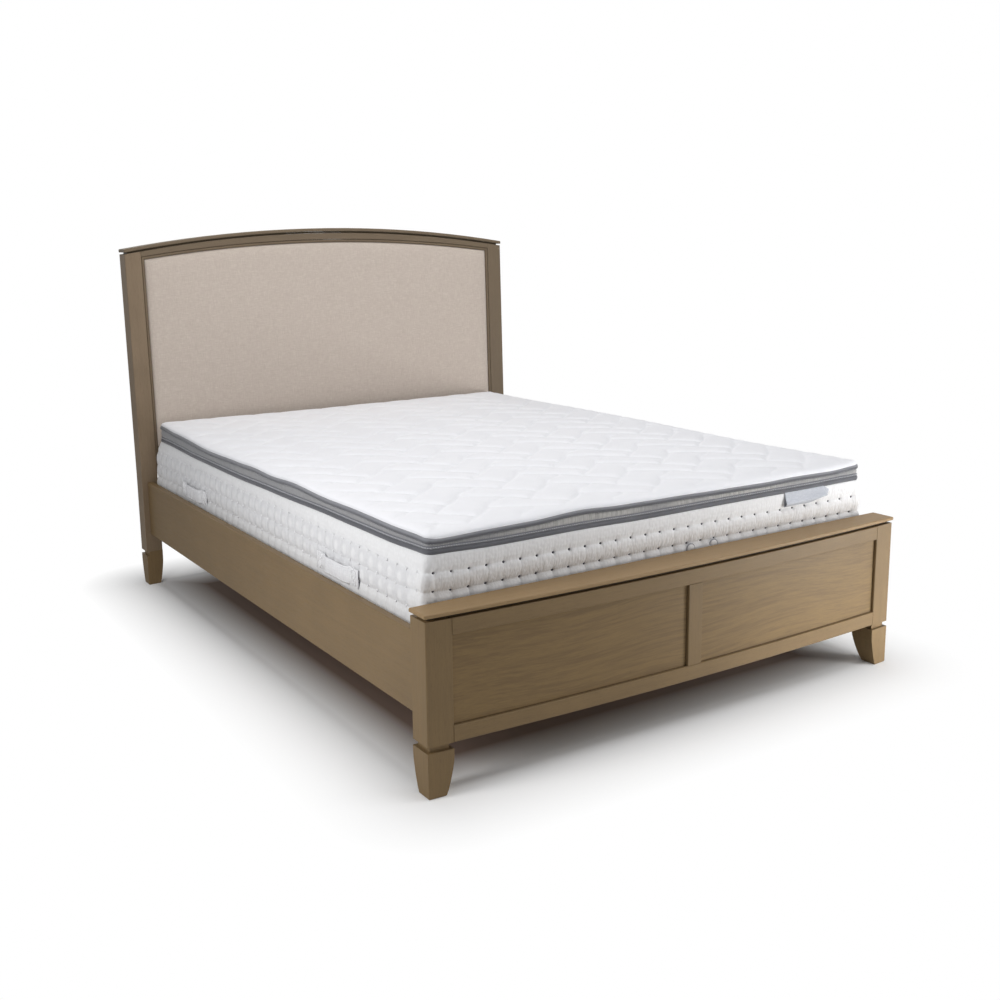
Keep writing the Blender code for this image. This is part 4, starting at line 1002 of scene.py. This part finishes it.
def frame_screws(material):
    """Screws of the corner brackets and the slats, and as a piece of their own those of the headboard's back."""
    bm = bmesh.new()
    for end, facing in (("foot", 1), ("head", -1)):
        for word, side in (("left", -1), ("right", 1)):
            low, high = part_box(f"{end}_{word}_corner_bracket")
            wall_x = (low.x if side < 0 else high.x) - side * BRACKET_STEEL
            board_y = (low.y if facing > 0 else high.y) + facing * BRACKET_STEEL
            for z in (low.z + 22 * MM, high.z - 22 * MM):
                for share in (0.42, 0.80):
                    y = board_y + facing * share * BRACKET_REACH
                    screw_head(bm, (wall_x, y, z), (-side, 0, 0), BRACKET_SCREW)
                screw_head(bm, (wall_x - side * 26 * MM, board_y, z), (0, facing, 0), BRACKET_SCREW)
    for slat in SLATS:
        low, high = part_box(slat)
        for x in (low.x + 14 * MM, high.x - 14 * MM):
            for share in (0.25, 0.75):
                screw_head(bm, (x, low.y + share * (high.y - low.y), high.z - 1.2 * MM), (0, 0, 1), 3.6 * MM)
    finished("frame_screws", bm, material, "bed_frame", smooth=False)
    back = bmesh.new()
    spots = [(x, z) for x in (0.175 * step for step in range(-4, 5)) for z in (0.545, opening_top(x) - 22 * MM)]
    spots += [(x, z) for z in (0.72, 0.90, 1.08) for x in (-0.735, 0.735)]
    for x, z in spots:
        screw_head(back, (x, head_surface(x, z) + BACK_FACE, z), (0, 1, 0), 3.4 * MM)
    finished("headboard_back_screws", back, material, "bed_frame", smooth=False)


# Finishes of the pieces that keep the model's own shape

OAK_PIECES = [f"footboard_{piece}" for piece in ("left_post", "right_post", "muntin", "left_foot", "right_foot",
                                                 "top_rail", "bottom_rail", "cap")]
OAK_PIECES += [f"headboard_{piece}" for piece in ("left_post", "right_post", "left_foot", "right_foot", "top_rail",
                                                  "mid_rail", "low_board", "bead", "cap")]
OAK_PIECES += ["left_side_rail", "right_side_rail"]
PINE_PIECES = ["left_slat_ledge", "right_slat_ledge", "centre_beam", "foot_centre_leg", "head_centre_leg",
               "headboard_pad_board", *SLATS]


def grain_of(node):
    """The direction of a piece's grain, which runs along it."""
    if node.endswith(("post", "foot", "muntin", "leg")):
        return ALONG_Z
    return ALONG_Y if node.endswith(("side_rail", "ledge", "beam")) else ALONG_X


def finish_nodes(nodes, material):
    for node in nodes:
        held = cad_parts[node]
        held.data.materials.clear()
        held.data.materials.append(material)


def finish_frame():
    for number, node in enumerate(OAK_PIECES):
        name, shift, tones = f"washed_oak_{node}", (0.31 * number, 0.17 * number, 0.23 * number), ()
        if node == "footboard_cap":
            # The footboard's cap takes a paler colour than the other oak
            name, shift, tones = "pale_washed_oak", (2.1, 0.4, 1.3), ("9A805D", "8D7452")
        elif node == "headboard_left_post":
            # The headboard's left post is painted lighter, a painted highlight for the light that falls on it from the
            # left
            tones = ("877560", "7B6A56")
        elif node.startswith("headboard") and not node.endswith("foot"):
            # The headboard's oak is painted greyer and darker, a painted shade for the duller light that falls on it
            tones = ("756652", "6A5C4C")
        finish_nodes([node], washed_oak(name, grain_of(node), shift, *tones))
    heights = ("Z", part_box("footboard_bottom_rail")[1].z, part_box("footboard_top_rail")[0].z)
    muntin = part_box("footboard_muntin")
    widths = (("X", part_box("footboard_left_post")[1].x, muntin[0].x),
              ("X", muntin[1].x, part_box("footboard_right_post")[0].x))
    for number, (word, width) in enumerate(zip(("left", "right"), widths)):
        veneer = veneered_oak(f"washed_oak_veneer_{word}", (0.4 * number, 0, 0.37 * number), (width, heights))
        finish_nodes([f"footboard_{word}_panel"], veneer)
    for number, node in enumerate(PINE_PIECES):
        pine = sawn_pine(f"planed_pine_{node}", grain_of(node), (0.29 * number, 0.13 * number, 0))
        finish_nodes([node], pine)
    # The cap spacers are painted dark, a painted shade for the shadow gaps they sit in; the headboard's back panel
    # takes the same dark oak
    for node in ("footboard_cap_spacer", "headboard_cap_spacer", "headboard_back_panel"):
        dark = washed_oak(f"dark_oak_and_painted_shade_{node}", ALONG_X, (0, 0, 0), "544835", "43392A")
        finish_nodes([node], dark)
    steel_nodes = [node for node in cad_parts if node.endswith(("_bracket", "_hanger"))]
    finish_nodes(steel_nodes, coated_steel("powder_coated_steel"))
    finish_nodes(("foot_centre_glide", "head_centre_glide"), moulded_nylon("moulded_black_nylon"))


# The studio

PAPER_CORE = (0.78, 1.045, 0)
WHITE_FROM = 0.285


def softbox(name, place, aim, size, power, beam=180):
    data = bpy.data.lights.new(name, "AREA")
    data.shape = "RECTANGLE"
    data.size, data.size_y = size
    data.energy = power
    data.spread = radians(beam)
    lamp = bpy.data.objects.new(name, data)
    lamp.location = place
    lamp.rotation_euler = (Vector(aim) - Vector(place)).to_track_quat("-Z", "Y").to_euler()
    bpy.context.collection.objects.link(lamp)


def studio_paper(name):
    """White paper that goes over into plain white round the bed, with a painted shadow under it."""
    made, add, place = surface(name, 0.9)
    # Past a rectangle a little smaller than the bed it fades into white
    past = add("VectorMath", place, operation="ABSOLUTE")
    past = add("VectorMath", past, PAPER_CORE, operation="SUBTRACT")
    # Well inside that rectangle a deep painted shadow darkens it, painted warm as if lit by the wood above
    parts = add("SeparateXYZ", past).node.outputs
    painted_shadow = add("Math", parts["X"], parts["Y"], operation="MAXIMUM")
    colour = painted(add, "F7F7F7", (painted_shadow, -0.02, -0.15, 1.0, "6E5C52"))
    past = add("VectorMath", past, (0, 0, 0), operation="MAXIMUM")
    far = add("MapRange", add("VectorMath", past, operation="LENGTH"), 0.0, WHITE_FROM)
    far = add("Math", far, 0.8, operation="POWER")
    shown = add("Math", far, add("LightPath", out="Is Camera Ray"), operation="MULTIPLY")
    nodes = made.node_tree.nodes
    paper = add("MixShader", shown, nodes["Principled BSDF"].outputs[0], add("Emission", linear("FFFFFF")))
    made.node_tree.links.new(paper, nodes["Material Output"].inputs["Surface"])
    return dressed(made, add, colour)


def studio():
    """A white floor under a white background, and soft lamps above and beside the bed."""
    bm = bmesh.new()
    bmesh.ops.create_grid(bm, x_segments=1, y_segments=1, size=30)
    mesh = bpy.data.meshes.new("studio_floor")
    bm.to_mesh(mesh)
    bm.free()
    floor = bpy.data.objects.new("studio_floor", mesh)
    bpy.context.collection.objects.link(floor)
    mesh.materials.append(studio_paper("white_studio_paper"))

    # The air lights the bed softly, and is plain white where it is seen
    world = bpy.data.worlds.new("studio_air")
    bpy.context.scene.world = world
    world.use_nodes = True
    add = partial(add_node, world.node_tree)
    air = world.node_tree.nodes["Background"]
    air.inputs["Color"].default_value = linear("F4F6FA")
    air.inputs["Strength"].default_value = 0.22
    rays = add("LightPath").node.outputs
    direct = add("Math", rays["Is Camera Ray"], rays["Is Glossy Ray"], operation="MAXIMUM")
    direct = add("Math", direct, rays["Is Transmission Ray"], operation="MAXIMUM")
    backdrop = add("MixShader", direct, air.outputs[0], add("Background", linear("FFFFFF")))
    world.node_tree.links.new(backdrop, world.node_tree.nodes["World Output"].inputs["Surface"])

    softbox("key_softbox", (1.75, -2.3, 0.34), (0.6, -1.07, 0.24), (0.6, 0.4), 24)
    softbox("floor_softbox", (0.9, -1.75, 0.06), (0.8, -1.07, 0.12), (1.2, 0.1), 0.8, 60)
    softbox("overhead_softbox", (0.2, 0.15, 2.8), (0.0, 0.0, 0.4), (2.4, 2.4), 34)
    softbox("foot_end_softbox", (0.6, -2.0, 2.8), (0.1, -1.1, 0.2), (1.6, 1.6), 21.5)
    softbox("left_softbox", (-2.1, -0.85, 1.2), (-0.78, -0.2, 0.5), (0.4, 0.8), 16)
    bpy.context.scene.view_settings.view_transform = "Standard"


place_camera()
studio()
finish_frame()
ticking = damask_ticking("white_damask_ticking")
grey_tape = ribbed_tape("grey_ribbed_ribbon")
white_thread = plain_cloth("white_rayon_thread", "F4F4F5", "E4E4E6", 1.2 * MM, 0.6, 0.4)
mattress_side(ticking)
# The foot end's knots are dark grey: partly thread, partly painted shade of each tuft's hollow
mattress_tufts("mattress_foot_knots", plain_cloth("tuft_thread_and_hole_shade", "54535A", "3C3B40", 1.0 * MM, 0.8, 0.1), True)
mattress_tufts("mattress_side_knots", white_thread, False)
edge_tape("mattress_lower_ribbon", LOWER_SECTION, LOWER_TAPE[0], LOWER_WAVES, "mattress_lower_tape", grey_tape)
upper_tape = ribbed_tape("light_grey_ribbed_ribbon", "939499", "53545A", 0.38)
edge_tape("mattress_upper_ribbon", UPPER_SECTION, UPPER_TAPE[0], UPPER_WAVES, "mattress_upper_tape", upper_tape)
edge_band(pleated_knit("pale_grey_pleated_knit"))
tape_stitches(plain_cloth("silver_grey_thread", "DCDDE2", "BBBCC3", 1.0 * MM, 0.45, 0.5))
quilted_top(quilted_knit("white_quilted_knit"))
webbing = plain_cloth("white_cotton_webbing", "EEEEF0", "E0E0E3", 2.0 * MM)
for side_word in ("left", "right"):
    for end_word in ("foot", "head"):
        strap_handle(side_word, end_word, webbing, white_thread)
cloth_label(plain_cloth("bare_grey_label_satin", "C0C3CA", "AFB3BC", 1.5 * MM, 0.6, 0.3, 0.15))
side_vents(plain_cloth("grey_vent_thread", "A9AAAF", "8B8C92", 1.0 * MM), ticking)
headboard_upholstery(oatmeal_linen("oatmeal_linen"))
frame_screws(zinc_plate("zinc_plated_steel"))
